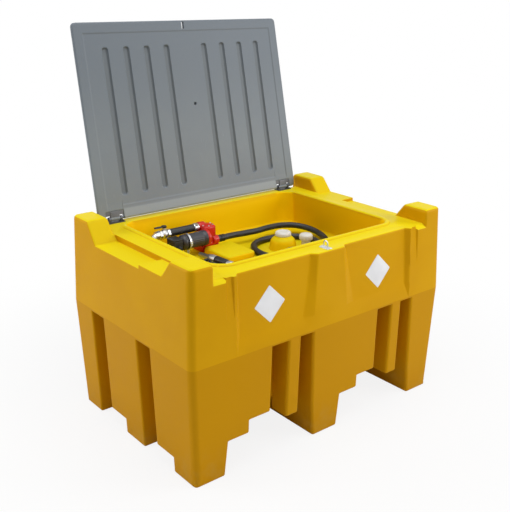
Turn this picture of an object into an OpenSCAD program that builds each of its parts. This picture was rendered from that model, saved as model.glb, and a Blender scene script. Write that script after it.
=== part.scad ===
/* [Tank] */
// Length of the tank at its parting line
tank_l = 1200; // [1120:10:1360]
// Width of the tank at its parting line
tank_w = 800; // [760:10:900]
// Height of the parting line
parting_h = 430; // [400:2:470]
// Height of the rim that carries the lid
rim_h = 706; // [690:2:740]
// Height of the four raised corners
lug_h = 762; // [750:2:800]
// Thickness of the moulded wall
wall = 8; // [6:0.5:10]
// Radius of the upright corners
corner_r = 24; // [14:1:34]
// How far each end leans in from the parting line to the ground
foot_draft_x = 23; // [10:1:30]
// How far each long side leans in from the parting line to the ground
foot_draft_y = 18; // [10:1:26]
// How far the upper band leans in from the parting line to the corner tops
top_draft = 7; // [4:1:12]

/* [Feet] */
// Distance between the centres of the fork pockets
pocket_pitch = 515; // [490:5:540]
// Width of a fork pocket at the ground
pocket_w = 393; // [350:5:400]
// Height of a fork pocket at its sides
pocket_h = 126; // [100:2:140]
// Width of the raised middle of a fork pocket
crown_w = 197; // [150:5:230]
// Height of the raised middle of a fork pocket
crown_h = 175; // [160:1:200]
// How far the sides of a fork pocket lean in on their way up
pocket_flare = 11; // [4:1:16]
// Depth of the upright grooves in the long sides
groove_d = 95; // [60:5:100]
// Width of the groove beside the narrow rib
groove_w = 70; // [50:5:80]
// Width of the narrow rib between two grooves
rib_w = 58; // [40:2:70]
// Depth of the upright grooves in the ends
end_groove_d = 100; // [60:5:110]
// Width of the upright grooves in the ends
end_groove_w = 86; // [60:2:100]
// Width of the middle foot seen from an end
mid_foot_w = 128; // [100:2:150]
// Height of the gap under the ends between two feet
relief_h = 55; // [30:1:80]
// Height of the tops of all the upright grooves
groove_h = 424; // [380:2:428]

/* [Basin] */
// Length of the equipment basin at its mouth
basin_l = 838; // [760:2:860]
// Width of the equipment basin at its mouth
basin_w = 632; // [560:2:640]
// Height of the basin floor
basin_floor_h = 560; // [520:2:580]
// How far the basin walls lean in on their way down
basin_draft = 12; // [6:1:20]
// Radius of the basin corners
basin_r = 62; // [40:2:90]
// Distance from the basin to the middle of the tank, towards the back
basin_y = 25; // [15:1:30]
// Length of the raised shelf in the basin
shelf_l = 140; // [100:5:150]
// Width of the raised shelf in the basin
shelf_w = 170; // [120:5:200]
// Height of the raised shelf above the basin floor
shelf_h = 24; // [16:1:40]

/* [Front] */
// How deep the front panels are set back at the rim
panel_d = 18; // [10:1:22]
// Outer end of the front panels, from the middle
panel_x = 414; // [400:2:430]
// Half width of the middle post at the rim
post_top = 66; // [50:1:80]
// Half width of the middle post at the parting line
post_foot = 83; // [70:1:95]
// Width of the upright notch at each outer end of a front panel
notch_w = 29; // [20:1:40]
// Height of the foot of that notch
notch_h = 615; // [580:5:650]

/* [Corners] */
// Length of a raised corner along the tank
lug_l = 96; // [70:2:100]
// Width of a raised corner across the tank at its top
lug_w = 125; // [100:5:150]
// Length of the slope beside a raised corner
lug_slope = 62; // [40:2:80]
// Height of the carrying ledge in each end between the raised corners
ledge_h = 684; // [660:2:700]

/* [Lid] */
// Length of the lid
lid_l = 990; // [940:2:990]
// Width of the lid from its hinge edge to its front edge
lid_w = 754; // [720:2:760]
// Thickness of the lid
lid_t = 20; // [16:1:24]
// Angle of the open lid from closed
lid_open = 102; // [95:1:108]
// Width of the raised border of the lid
lid_border = 40; // [30:1:50]
// Depth of the field inside the border
lid_field_d = 5; // [3:0.5:7]
// Width of the long grooves in the lid
slot_w = 28; // [20:1:34]
// Length of the long grooves in the lid
slot_l = 576; // [480:4:590]
// Depth of the long grooves in the lid
slot_d = 8; // [4:0.5:8]
// Distance between two long grooves
slot_pitch = 92; // [80:1:100]
// Distance between the two middle grooves
slot_gap = 184; // [150:2:190]

/* [Hinge] */
// Distance of each hinge from the middle of the tank
hinge_x = 425; // [410:1:440]
// Radius of the hinge pin
pin_r = 4; // [3:0.5:5]
// Length of the hinge pin
pin_l = 74; // [60:2:80]
// Thickness of a hinge ear
ear_t = 8; // [6:1:10]

/* [Hasp] */
// Height of the padlock loop above its plate
loop_h = 26; // [22:1:34]
// Width of the padlock loop
loop_w = 24; // [20:1:26]
// Radius of the loop's rod
rod_r = 2.5; // [2:0.25:3]

/* [Pump] */
// Radius of the pump motor
motor_r = 31; // [26:1:38]
// Length of the pump motor
motor_l = 118; // [90:2:140]
// Diameter of the delivery hose
hose_d = 25; // [22:1:26]
// Diameter of the suction pipe
suction_d = 32; // [24:1:36]

/* [Filler] */
// Diameter of the filler neck at its foot
neck_d = 112; // [90:2:124]
// Diameter of the filler cap
cap_d = 66; // [50:1:76]
// Height of the filler neck
neck_h = 46; // [36:1:60]
// Diameter of the vent cap
vent_d = 56; // [44:1:62]

/* [Hidden] */
$fn = 48;
cut = 2;
half_l = tank_l / 2;
half_w = tank_w / 2;
far = tank_l;

// Inner faces of the grooves and of the walls behind them
groove_back = half_w - groove_d;
end_groove_back = half_l - end_groove_d;
behind_groove = 1;
wall_back_y = groove_back - wall - behind_groove;
wall_back_x = end_groove_back - wall - behind_groove;
// Feet and ribs
below_pocket_top = 6;
runner_h = pocket_h - below_pocket_top;
leg_lean = 2 * pocket_flare;
first_groove = -8;
rib_x = first_groove + groove_w;
second_groove = rib_x + rib_w;
corner_foot = half_w - foot_draft_y - mid_foot_w;
relief_past_groove = 25;
relief_stop = half_l - end_groove_d - relief_past_groove;
// Rim and basin
rim_face_y = half_w - top_draft * (rim_h - parting_h) / (lug_h - parting_h);
panel_foot = 10;
panel_step = 20;
pillar_drop = 14;
basin_front = basin_w / 2 - basin_y;
basin_back = basin_w / 2 + basin_y;
lug_inner = half_l - lug_l;
lug_run = lug_slope / (lug_h - ledge_h);
ledge_step = 14;
ledge_step_y = 93;
past_corner = 4;
rim_split_front = basin_front - basin_r - past_corner;
rim_split_back = basin_back - basin_r - past_corner;
pillar_step = 20;
// Hinge axis and the lid's own levels above it when it is shut
axis_in = 30;
axis_up = 14;
axis_y = half_w - axis_in;
axis_z = rim_h + axis_up;
lid_low = -7;
lid_edge = -6;
knuckle_r = 8;
knuckle_l = 40;
knuckle_top = 4;
ear_gap = 1;
hinge_half = knuckle_l / 2 + ear_gap + ear_t;
recess_side = 10;
recess_half = hinge_half + recess_side;
leaf_over = 6;
leaf_front = 18;
leaf_w = 34;
leaf_t = 3;
ear_r = 9;
recess_s = 26;
lid_front = lid_w;
field_s = 45;
slot_s = 82;
pin_gap = 0.3;
// Padlock loop
hasp_y = 362;
plate_t = 2;
plate_w = 26;
plate_l = loop_w + 22;
plate_r = 4;
hasp_slot_w = 24;
slot_room = 10;
hasp_slot_l = loop_w + slot_room;
// Pump row
shelf_x = -55;
shelf_y = 130;
shelf_top = basin_floor_h + shelf_h;
pump_x = -84;
pump_y = 244;
shelf_r = 14;
pump_w = 70;
pump_h = 84;
pump_dome = 6;
pump_foot_over = 7;
pump_foot_front = 28;
pump_foot_w = 66;
motor_side = 36;
motor_rise = 40;
motor_y = pump_y - motor_side;
motor_z = shelf_top + motor_rise;
strap_in = 26;
strap_w = 14;
strap_t = 3;
strap_foot = 24;
box_l = 44;
box_w = 52;
box_h = 50;
box_low = 26;
suction_side = 14;
suction_rise = 72;
suction_y = pump_y + suction_side;
suction_z = shelf_top + suction_rise;
pump_left = pump_x - pump_w / 2;
valve_x = -276;
valve_l = 48;
valve_r = 19;
stem_r = 7;
stem_h = 26;
handle_gap = 0.5;
hub_r = 11;
hub_h = 8;
handle_reach = 42;
handle_w = 16;
handle_t = 6;
riser_x = -325;
riser_r = 17;
elbow_r = 15;
clamp_l = 22;
clamp_t = 3;
tail_side = 24;
tail_rise = 18;
tail_y = pump_y - tail_side;
tail_z = shelf_top + tail_rise;
tail_x = pump_x + pump_w / 2;
tail_l = 34;
tail_r = 15;
// Filler and vent
neck_x = 165;
neck_y = 60;
neck_over = 6;
neck_top_d = cap_d + neck_over;
cap_t = 26;
vent_x = 236;
vent_y = 0;
vent_body_h = 40;
vent_body_r = 21;
vent_cap_h = 24;
// Nozzle, lying beside the shelf
nozzle_x = -152;
nozzle_y = -20;
nozzle_r = 17;
nozzle_gap = 0.3;
nozzle_z = basin_floor_h + nozzle_r + nozzle_gap;
nozzle_turn = 97;
nozzle_l = 135;
spout_l = 50;
spout_r = 11;
guard_start = 20;
guard_gap = 0.2;
guard_l = 104;
guard_reach = 34;
guard_t = 14;
guard_bar = 12;
guard_open = 24;
// Route of the delivery hose from the pump to the nozzle
hose_route = [
    [-14.4, 220, 602], [30, 220, 602], [90, 212, 602], [150, 210, 601], [215, 218, 600], [280, 214, 599],
    [335, 188, 596], [368, 140, 590], [376, 80, 582], [358, 16, 576], [314, -44, 573], [250, -88, 573],
    [180, -104, 573], [110, -94, 573], [50, -56, 573], [28, 6, 573], [36, 74, 573], [68, 130, 573],
    [120, 160, 573], [180, 164, 573], [240, 148, 573], [290, 110, 573], [312, 54, 573], [302, -2, 573],
    [264, -44, 573], [205, -60, 578], [145, -58, 590], [85, -66, 598], [30, -91, 598.5], [-22, -112, 594],
    [-62, -118.4, 586.5], [-101, -107.4, 580.2], [-132.6, -79.8, 577.5], [-146.6, -53, 577.3],
    [-150.1, -36.5, 577.3], [-151.94, -20.5, 577.3]];

function blend_point(p0, p1, p2, p3, t) =
    0.5 * (2 * p1 + (p2 - p0) * t + (2 * p0 - 5 * p1 + 4 * p2 - p3) * t * t
        + (3 * p1 - p0 - 3 * p2 + p3) * t * t * t);
function unit(v) = v / norm(v);

// Rounded rectangle centred on the origin
module rounded_rect(l, w, r) {
    square([l - 2 * r, w], center = true);
    square([l, w - 2 * r], center = true);
    for (sx = [-1, 1], sy = [-1, 1])
        translate([sx * (l / 2 - r), sy * (w / 2 - r)]) circle(r = r, $fn = 32);
}

// Block that changes evenly from one rounded rectangle to another
module leaning_block(l0, w0, l1, w1, r, h) {
    linear_extrude(height = h, scale = [l1 / l0, w1 / w0], slices = 1) rounded_rect(l0, w0, r);
}

// Outline drawn in X and Z, carried along Y between two places
module along_y(y0, y1) {
    translate([0, y1, 0]) rotate([90, 0, 0]) linear_extrude(height = y1 - y0) children();
}

// Outline drawn in Y and Z, carried along X between two places
module along_x(x0, x1) {
    translate([x0, 0, 0]) rotate([90, 0, 90]) linear_extrude(height = x1 - x0) children();
}

module box(x0, x1, y0, y1, z0, z1) {
    translate([x0, y0, z0]) cube([x1 - x0, y1 - y0, z1 - z0]);
}

// Fork pockets, widened by g where they shape the inside of the wall
module fork_pockets(g) {
    foot = pocket_w / 2 + g;
    top = foot - pocket_flare;
    for (c = [-pocket_pitch / 2, pocket_pitch / 2]) {
        along_y(-far, far) polygon([[c - foot, -cut], [c - foot, 0], [c - top, pocket_h + g],
            [c + top, pocket_h + g], [c + foot, 0], [c + foot, -cut]]);
        box(c - crown_w / 2 - g, c + crown_w / 2 + g, -groove_back + g, groove_back - g, 0, crown_h + g);
    }
}

// Upright grooves and stepped underside of one bay of the front
module front_bay(c, g) {
    leg = c + pocket_w / 2;
    box(c - crown_w / 2 - g, c + first_groove + groove_w / 2, -far, -groove_back + g, 0, crown_h + g);
    box(c + first_groove - g, c + rib_x + g, -far, -groove_back + g, 0, groove_h + g);
    along_y(-far, -groove_back + g) polygon([[c + second_groove - g, pocket_h - cut],
        [c + second_groove - g, groove_h + g], [leg - leg_lean + g, groove_h + g],
        [leg - pocket_flare + g, pocket_h - cut]]);
}

// Grooves of one end and the gaps under it, which stop at stop
module end_bays(g, stop) {
    mid = mid_foot_w / 2;
    for (y1 = [-mid, corner_foot])
        box(-far, -end_groove_back + g, y1 - end_groove_w - g, y1 + g, -cut, groove_h + g);
    for (span = [[-corner_foot, -mid - end_groove_w], [mid, corner_foot - end_groove_w]])
        box(-far, -stop + g, span[0] - g, span[1] + cut, -cut, relief_h + g);
}

// Lower body, drawn in by g for its inside
module lower_form(g) {
    difference() {
        translate([0, 0, g]) leaning_block(tank_l - 2 * foot_draft_x - 2 * g,
            tank_w - 2 * foot_draft_y - 2 * g, tank_l - 2 * g, tank_w - 2 * g, corner_r - g / 2, parting_h);
        fork_pockets(g);
        for (turn = [0, 180], c = [-pocket_pitch / 2, pocket_pitch / 2])
            rotate([0, 0, turn]) front_bay(c, g);
        end_bays(g, pocket_pitch / 2 + pocket_w / 2 - cut);
        rotate([0, 0, 180]) end_bays(g, relief_stop);
    }
}

module lower_shell(x0, x1, y0, y1, z0, z1) {
    intersection() {
        difference() {
            lower_form(0);
            lower_form(wall);
        }
        box(x0, x1, y0, y1, z0, z1);
    }
}

module runner(x0, x1) {
    color("gold") lower_shell(x0, x1, -far, far, -cut, runner_h);
}
module left_runner() {
    runner(-far, -pocket_pitch / 2);
}
module middle_runner() {
    runner(-pocket_pitch / 2, pocket_pitch / 2);
}
module right_runner() {
    runner(pocket_pitch / 2, far);
}
module tank_floor() {
    color("goldenrod")
        lower_shell(-wall_back_x, wall_back_x, -wall_back_y, wall_back_y, runner_h, parting_h);
}
module front_lower_wall() {
    color("gold") lower_shell(-far, far, -far, -wall_back_y, runner_h, parting_h);
}
module back_lower_wall() {
    color("gold") lower_shell(-far, far, wall_back_y, far, runner_h, parting_h);
}
module left_lower_wall() {
    color("gold") lower_shell(-far, -wall_back_x, -wall_back_y, wall_back_y, runner_h, parting_h);
}
module right_lower_wall() {
    color("gold") lower_shell(wall_back_x, far, -wall_back_y, wall_back_y, runner_h, parting_h);
}

// Equipment basin, widened by g
module basin(g) {
    translate([0, basin_y, basin_floor_h - g]) leaning_block(basin_l - 2 * basin_draft + 2 * g,
        basin_w - 2 * basin_draft + 2 * g, basin_l + 2 * g, basin_w + 2 * g, basin_r,
        rim_h - basin_floor_h + g);
}

// Panels set back in one long side, with the middle post between them
module front_panels(g) {
    for (side = [-1, 1]) {
        intersection() {
            along_x(-panel_x - g, panel_x + g) polygon([[-far, parting_h], [-half_w, parting_h],
                [-half_w + panel_foot + g, parting_h + panel_step], [-rim_face_y + panel_d + g, rim_h],
                [-rim_face_y + panel_d + g, far], [-far, far]]);
            along_y(-far, 0) polygon([[side * (panel_x + g), 0], [side * (post_foot - g), 0],
                [side * (post_foot - g), parting_h], [side * (post_top - g), rim_h],
                [side * (post_top - g), far], [side * (panel_x + g), far]]);
        }
        mirror([(1 - side) / 2, 0, 0]) {
            along_x(panel_x + notch_w / 2 - g, panel_x + 1.5 * notch_w + g)
                polygon([[-far, notch_h - g], [-half_w, notch_h - g], [-rim_face_y + panel_d + g, rim_h],
                    [-rim_face_y + panel_d + g, far], [-far, far]]);
            box(panel_x + notch_w, lug_inner, -far, -rim_face_y + pillar_step + g,
                rim_h - pillar_drop - g, far);
        }
    }
}

// Carrying ledge cut into one end between its raised corners
module end_ledge(g) {
    top_run = lug_run * (far - ledge_h);
    foot = half_w - lug_w - lug_slope;
    along_x(-far, -lug_inner + g) polygon([[-foot - top_run - g, far], [-foot - g, ledge_h + ledge_step - g],
        [-ledge_step_y, ledge_h + ledge_step - g], [-ledge_step_y + ledge_step / 2, ledge_h - g],
        [foot + g, ledge_h - g], [foot + top_run + g, far]]);
}

// Upper band with its rim, drawn in by g for its inside
module upper_form(g) {
    difference() {
        intersection() {
            translate([0, 0, parting_h]) leaning_block(tank_l - 2 * g, tank_w - 2 * g,
                tank_l - 2 * top_draft - 2 * g, tank_w - 2 * top_draft - 2 * g, corner_r - g / 2,
                lug_h - parting_h);
            box(-far, far, -far, far, 0, rim_h - g);
        }
        basin(g);
        for (turn = [0, 180]) rotate([0, 0, turn]) {
            front_panels(g);
            end_ledge(g);
        }
    }
}

module upper_shell(x0, x1, y0, y1) {
    color("gold") difference() {
        intersection() {
            difference() {
                upper_form(0);
                upper_form(wall);
            }
            box(x0, x1, y0, y1, 0, far);
        }
        floor_zone();
    }
}
module floor_zone() {
    box(-basin_l / 2 - wall, basin_l / 2 + wall, -basin_front - wall, basin_back + wall,
        basin_floor_h - wall, basin_floor_h);
}
module front_rim() {
    upper_shell(-far, far, -far, -rim_split_front);
}
module back_rim() {
    upper_shell(-far, far, rim_split_back, far);
}
module left_rim() {
    upper_shell(-far, 0, -rim_split_front, rim_split_back);
}
module right_rim() {
    upper_shell(0, far, -rim_split_front, rim_split_back);
}
module basin_floor() {
    color("goldenrod") intersection() {
        difference() {
            upper_form(0);
            upper_form(wall);
        }
        floor_zone();
    }
}

// Raised corner of the front left, drawn in by g
module corner_form(g) {
    run = lug_run * (lug_h - rim_h);
    intersection() {
        translate([0, 0, parting_h]) leaning_block(tank_l - 2 * g, tank_w - 2 * g,
            tank_l - 2 * top_draft - 2 * g, tank_w - 2 * top_draft - 2 * g, corner_r - g / 2,
            lug_h - parting_h);
        along_x(-far, -lug_inner - g) polygon([[-far, rim_h - cut * g], [-far, lug_h - g],
            [-half_w + lug_w - g, lug_h - g], [-half_w + lug_w + run - g, rim_h], [-half_w + lug_w + run - g,
            rim_h - cut * g]]);
    }
}
module raised_corner(sx, sy) {
    color("gold") mirror([(1 - sx) / 2, 0, 0]) mirror([0, (1 - sy) / 2, 0]) difference() {
        corner_form(0);
        corner_form(wall);
    }
}
module front_left_corner() {
    raised_corner(1, 1);
}
module front_right_corner() {
    raised_corner(-1, 1);
}
module back_left_corner() {
    raised_corner(1, -1);
}
module back_right_corner() {
    raised_corner(-1, -1);
}

module equipment_shelf() {
    color("gold") translate([shelf_x, shelf_y, basin_floor_h])
        linear_extrude(height = shelf_h) rounded_rect(shelf_l, shelf_w, shelf_r);
}

// Bracket with two ears that carry the hinge pin
module hinge_bracket(x) {
    color("dimgray") translate([x, axis_y, 0]) difference() {
        union() {
            translate([-hinge_half - leaf_over, -leaf_front, rim_h])
                cube([2 * (hinge_half + leaf_over), leaf_w, leaf_t]);
            for (side = [-1, 1]) translate([side * (hinge_half - ear_t / 2), 0, 0]) {
                translate([-ear_t / 2, -ear_r, rim_h + leaf_t / 2])
                    cube([ear_t, 2 * ear_r, axis_z - rim_h - leaf_t / 2]);
                translate([0, 0, axis_z]) rotate([0, 90, 0]) cylinder(r = ear_r, h = ear_t, center = true);
            }
        }
        translate([0, 0, axis_z]) rotate([0, 90, 0]) cylinder(r = pin_r, h = pin_l, center = true);
    }
}
module hinge_pin(x) {
    color("silver") translate([x, axis_y, axis_z]) rotate([0, 90, 0])
        cylinder(r = pin_r, h = pin_l, center = true);
}
module left_hinge_bracket() {
    hinge_bracket(-hinge_x);
}
module right_hinge_bracket() {
    hinge_bracket(hinge_x);
}
module left_hinge_pin() {
    hinge_pin(-hinge_x);
}
module right_hinge_pin() {
    hinge_pin(hinge_x);
}

// Lid as it lies shut, with the hinge axis on the X axis and its front towards -Y
module shut_lid() {
    difference() {
        union() {
            difference() {
                translate([-lid_l / 2, -lid_front, lid_low]) cube([lid_l, lid_front - lid_edge, lid_t]);
                translate([-lid_l / 2 + lid_border, -lid_front + lid_border, lid_low - cut])
                    cube([lid_l - 2 * lid_border, lid_front - lid_border - field_s, lid_field_d + cut]);
                for (side = [-1, 1], k = [0:3])
                    translate([side * (slot_gap / 2 + k * slot_pitch), -slot_s - slot_l / 2, lid_low])
                        linear_extrude(height = lid_field_d + slot_d)
                            rounded_rect(slot_w, slot_l, slot_w / 2 - 1);
                for (x = [-hinge_x, hinge_x]) translate([x - recess_half, -recess_s, lid_low - cut])
                    cube([2 * recess_half, recess_s + cut - lid_edge, lid_t + 2 * cut]);
                translate([0, -axis_y - hasp_y, lid_low - cut])
                    linear_extrude(height = lid_t + 2 * cut)
                        square([hasp_slot_w, hasp_slot_l], center = true);
            }
            for (x = [-hinge_x, hinge_x]) translate([x, 0, 0]) {
                rotate([0, 90, 0]) cylinder(r = knuckle_r, h = knuckle_l, center = true);
                translate([-knuckle_l / 2, -recess_s - 1, lid_low])
                    cube([knuckle_l, recess_s + 1, knuckle_top - lid_low]);
            }
        }
        for (x = [-hinge_x, hinge_x]) translate([x, 0, 0]) rotate([0, 90, 0])
            cylinder(r = pin_r + pin_gap, h = pin_l, center = true);
    }
}
module lid() {
    color("slategray") translate([0, axis_y, axis_z]) rotate([-lid_open, 0, 0]) shut_lid();
}

module hasp_plate() {
    color("silver") translate([0, -hasp_y, rim_h]) linear_extrude(height = plate_t)
        rounded_rect(plate_w, plate_l, plate_r);
}
// Padlock loop: two legs and a half ring
module hasp_loop() {
    r = loop_w / 2 - rod_r;
    color("silver") translate([0, -hasp_y, rim_h + plate_t]) {
        for (side = [-1, 1]) translate([0, side * r, 0]) cylinder(r = rod_r, h = loop_h - r - rod_r);
        translate([0, 0, loop_h - r - rod_r]) rotate([90, 0, 90]) rotate_extrude(angle = 180)
            translate([r, 0]) circle(r = rod_r);
    }
}

module pump_foot() {
    color("dimgray") {
        translate([pump_x - pump_w / 2 - pump_foot_over, pump_y - pump_foot_front, basin_floor_h])
            cube([pump_w + 2 * pump_foot_over, pump_foot_w, shelf_h]);
    }
}
module pump_body() {
    color("firebrick") translate([pump_x, pump_y, shelf_top]) {
        translate([-pump_w / 2, -pump_w / 2, 0]) cube([pump_w, pump_w, pump_h - pump_dome]);
        cylinder(r = pump_w / 2 - pump_dome, h = pump_h);
    }
}
module pump_motor() {
    color("dimgray") translate([pump_left - motor_l, motor_y, motor_z]) rotate([0, 90, 0])
        cylinder(r = motor_r, h = motor_l);
}
module motor_strap() {
    x = pump_left - motor_l + strap_in;
    color("silver") translate([x, motor_y, motor_z]) difference() {
        union() {
            rotate([0, 90, 0]) cylinder(r = motor_r + strap_t, h = strap_w);
            translate([0, -strap_foot / 2, basin_floor_h - motor_z])
                cube([strap_w, strap_foot, motor_z - basin_floor_h - motor_r]);
        }
        translate([-cut, 0, 0]) rotate([0, 90, 0]) cylinder(r = motor_r, h = strap_w + 2 * cut);
    }
}
module terminal_box() {
    color("black") translate([pump_left - motor_l - box_l, motor_y - box_w / 2, motor_z - box_low])
        cube([box_l, box_w, box_h]);
}

module suction_riser() {
    color("dimgray") {
        translate([riser_x, suction_y, basin_floor_h]) cylinder(r = riser_r, h = suction_z - basin_floor_h);
        translate([riser_x, suction_y, suction_z]) sphere(r = riser_r);
        translate([riser_x, suction_y, suction_z]) rotate([0, 90, 0])
            cylinder(r = elbow_r, h = valve_x - valve_l / 2 - riser_x);
    }
}
module suction_valve() {
    color("silver") translate([valve_x, suction_y, suction_z]) {
        rotate([0, 90, 0]) cylinder(r = valve_r, h = valve_l, center = true);
        cylinder(r = stem_r, h = stem_h);
    }
}
module valve_handle() {
    color("black") translate([valve_x, suction_y, suction_z + stem_h + handle_gap]) {
        cylinder(r = hub_r, h = hub_h);
        translate([-handle_reach, -handle_w / 2, (hub_h - handle_t) / 2])
            cube([handle_reach + stem_r - 3, handle_w, handle_t]);
    }
}
module suction_pipe() {
    x0 = valve_x + valve_l / 2;
    color("black") translate([x0, suction_y, suction_z]) rotate([0, 90, 0])
        cylinder(d = suction_d, h = pump_left - x0 - clamp_l);
}
module pipe_clamp() {
    color("silver") translate([pump_left - clamp_l, suction_y, suction_z]) rotate([0, 90, 0])
        cylinder(r = suction_d / 2 + clamp_t, h = clamp_l);
}
module hose_tail() {
    color("black") translate([tail_x, tail_y, tail_z]) rotate([0, 90, 0]) cylinder(r = tail_r, h = tail_l);
}

// Hose swept round the route: rings at even steps between the route's points
module delivery_hose() {
    n = len(hose_route);
    steps = 2;
    centres = [for (i = [0:n - 2], s = [0:steps - 1])
        blend_point(hose_route[max(i - 1, 0)], hose_route[i], hose_route[i + 1],
            hose_route[min(i + 2, n - 1)], s / steps), hose_route[n - 1]];
    m = len(centres);
    sides = 10;
    rings = [for (i = [0:m - 1])
        let (way = unit(centres[min(i + 1, m - 1)] - centres[max(i - 1, 0)]),
            across = unit(cross(way, [0, 0, 1])), up = cross(across, way))
        for (k = [0:sides - 1]) centres[i]
            + hose_d / 2 * (cos(360 * k / sides) * across + sin(360 * k / sides) * up)];
    faces = concat([[for (k = [sides - 1:-1:0]) k]],
        [for (i = [0:m - 2], k = [0:sides - 1]) [i * sides + k, i * sides + (k + 1) % sides,
            (i + 1) * sides + (k + 1) % sides, (i + 1) * sides + k]],
        [[for (k = [0:sides - 1]) (m - 1) * sides + k]]);
    color("black") polyhedron(points = rings, faces = faces, convexity = 10);
}

module at_nozzle() {
    translate([nozzle_x, nozzle_y, nozzle_z]) rotate([0, 0, nozzle_turn]) children();
}
module nozzle_body() {
    color("silver") at_nozzle() rotate([0, 90, 0]) cylinder(r = nozzle_r, h = nozzle_l);
}
module nozzle_guard() {
    color("black") at_nozzle() translate([guard_start, nozzle_r + guard_gap, -guard_t / 2]) difference() {
        cube([guard_l, guard_reach, guard_t]);
        translate([guard_bar, -cut, -cut])
            cube([guard_l - 2 * guard_bar, guard_open + cut, guard_t + 2 * cut]);
    }
}
module nozzle_spout() {
    color("gainsboro") at_nozzle() translate([nozzle_l, 0, 0]) rotate([0, 90, 0])
        cylinder(r = spout_r, h = spout_l);
}

module filler_neck() {
    color("gold") translate([neck_x, neck_y, basin_floor_h])
        cylinder(r1 = neck_d / 2, r2 = neck_top_d / 2, h = neck_h);
}
module filler_cap() {
    color("gainsboro") translate([neck_x, neck_y, basin_floor_h + neck_h]) cylinder(d = cap_d, h = cap_t);
}
module vent_body() {
    color("white") translate([vent_x, vent_y, basin_floor_h]) cylinder(r = vent_body_r, h = vent_body_h);
}
module vent_cap() {
    color("white") translate([vent_x, vent_y, basin_floor_h + vent_body_h])
        cylinder(d = vent_d, h = vent_cap_h);
}

left_runner();
middle_runner();
right_runner();
tank_floor();
front_lower_wall();
back_lower_wall();
left_lower_wall();
right_lower_wall();
front_rim();
back_rim();
left_rim();
right_rim();
front_left_corner();
front_right_corner();
back_left_corner();
back_right_corner();
basin_floor();
equipment_shelf();
left_hinge_bracket();
right_hinge_bracket();
left_hinge_pin();
right_hinge_pin();
lid();
hasp_plate();
hasp_loop();
pump_foot();
pump_body();
pump_motor();
motor_strap();
terminal_box();
suction_riser();
suction_valve();
valve_handle();
suction_pipe();
pipe_clamp();
hose_tail();
delivery_hose();
nozzle_body();
nozzle_guard();
nozzle_spout();
filler_neck();
filler_cap();
vent_body();
vent_cap();
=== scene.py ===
import math
import bmesh
import bpy
import numpy as np
from mathutils import Matrix


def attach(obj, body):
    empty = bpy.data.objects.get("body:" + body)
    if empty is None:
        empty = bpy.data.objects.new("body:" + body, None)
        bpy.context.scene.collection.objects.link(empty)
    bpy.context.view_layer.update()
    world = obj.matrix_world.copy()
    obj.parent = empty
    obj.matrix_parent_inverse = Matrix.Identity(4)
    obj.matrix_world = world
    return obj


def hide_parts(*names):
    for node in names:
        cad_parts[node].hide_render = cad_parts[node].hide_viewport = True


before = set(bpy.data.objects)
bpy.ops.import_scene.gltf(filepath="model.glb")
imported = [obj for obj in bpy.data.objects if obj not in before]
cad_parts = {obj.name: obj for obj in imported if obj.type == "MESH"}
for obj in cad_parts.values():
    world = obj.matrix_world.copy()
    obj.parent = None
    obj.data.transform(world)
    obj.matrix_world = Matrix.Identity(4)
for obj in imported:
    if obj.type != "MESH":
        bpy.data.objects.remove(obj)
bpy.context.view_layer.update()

print("frame loaded")

# Camera: place in metres, angles in degrees, lens in pixels of the 510 by 512 picture
view = {"place": (-1.8511, -2.2871, 1.5889), "yaw": 39.89, "pitch": 14.10, "roll": 0.53,
        "focal": 796.56, "middle": (273.3, 188.2), "frame": (510, 512)}


def setCamera(v):
    yaw, pitch, roll = (math.radians(v[k]) for k in ("yaw", "pitch", "roll"))
    ahead = np.array([math.sin(yaw) * math.cos(pitch), math.cos(yaw) * math.cos(pitch), -math.sin(pitch)])
    level = np.array([math.cos(yaw), -math.sin(yaw), 0])
    above = np.cross(level, ahead)
    right = math.cos(roll) * level + math.sin(roll) * above
    up = math.cos(roll) * above - math.sin(roll) * level
    wide, tall = v["frame"]
    data = bpy.data.cameras.new("photoView")
    data.sensor_fit = "HORIZONTAL"
    data.sensor_width = 36
    data.lens = 36 * v["focal"] / wide
    data.shift_x = (wide / 2 - v["middle"][0]) / wide
    data.shift_y = (v["middle"][1] - tall / 2) / wide
    camera = bpy.data.objects.new("photoView", data)
    turned = np.eye(4)
    turned[:3, 0], turned[:3, 1], turned[:3, 2], turned[:3, 3] = right, up, -ahead, v["place"]
    camera.matrix_world = Matrix(turned.tolist())
    bpy.context.collection.objects.link(camera)
    bpy.context.scene.camera = camera


setCamera(view)
bpy.context.scene.view_settings.view_transform = "Standard"
print("camera set")


class Wire:
    # A node's output, so that sums and products of outputs read as they are written
    def __init__(self, finish, socket):
        self.finish = finish
        self.socket = socket

    def join(self, operation, other, swap=False):
        first, second = (other, self) if swap else (self, other)
        return self.finish.node("ShaderNodeMath", {"operation": operation}, {0: first, 1: second})

    def __add__(self, other):
        return self.join("ADD", other)

    def __sub__(self, other):
        return self.join("SUBTRACT", other)

    def __mul__(self, other):
        return self.join("MULTIPLY", other)

    def __pow__(self, other):
        return self.join("POWER", other)

    def __rsub__(self, other):
        return self.join("SUBTRACT", other, swap=True)

    __radd__ = __add__
    __rmul__ = __mul__

    def size(self):
        return self.join("ABSOLUTE", 0)

    # 0 below start, 1 above end, an even S-curve between
    def rise(self, start, end):
        return self.finish.node("ShaderNodeMapRange", {"interpolation_type": "SMOOTHSTEP"},
                                {"Value": self, "From Min": start, "From Max": end})


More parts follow.
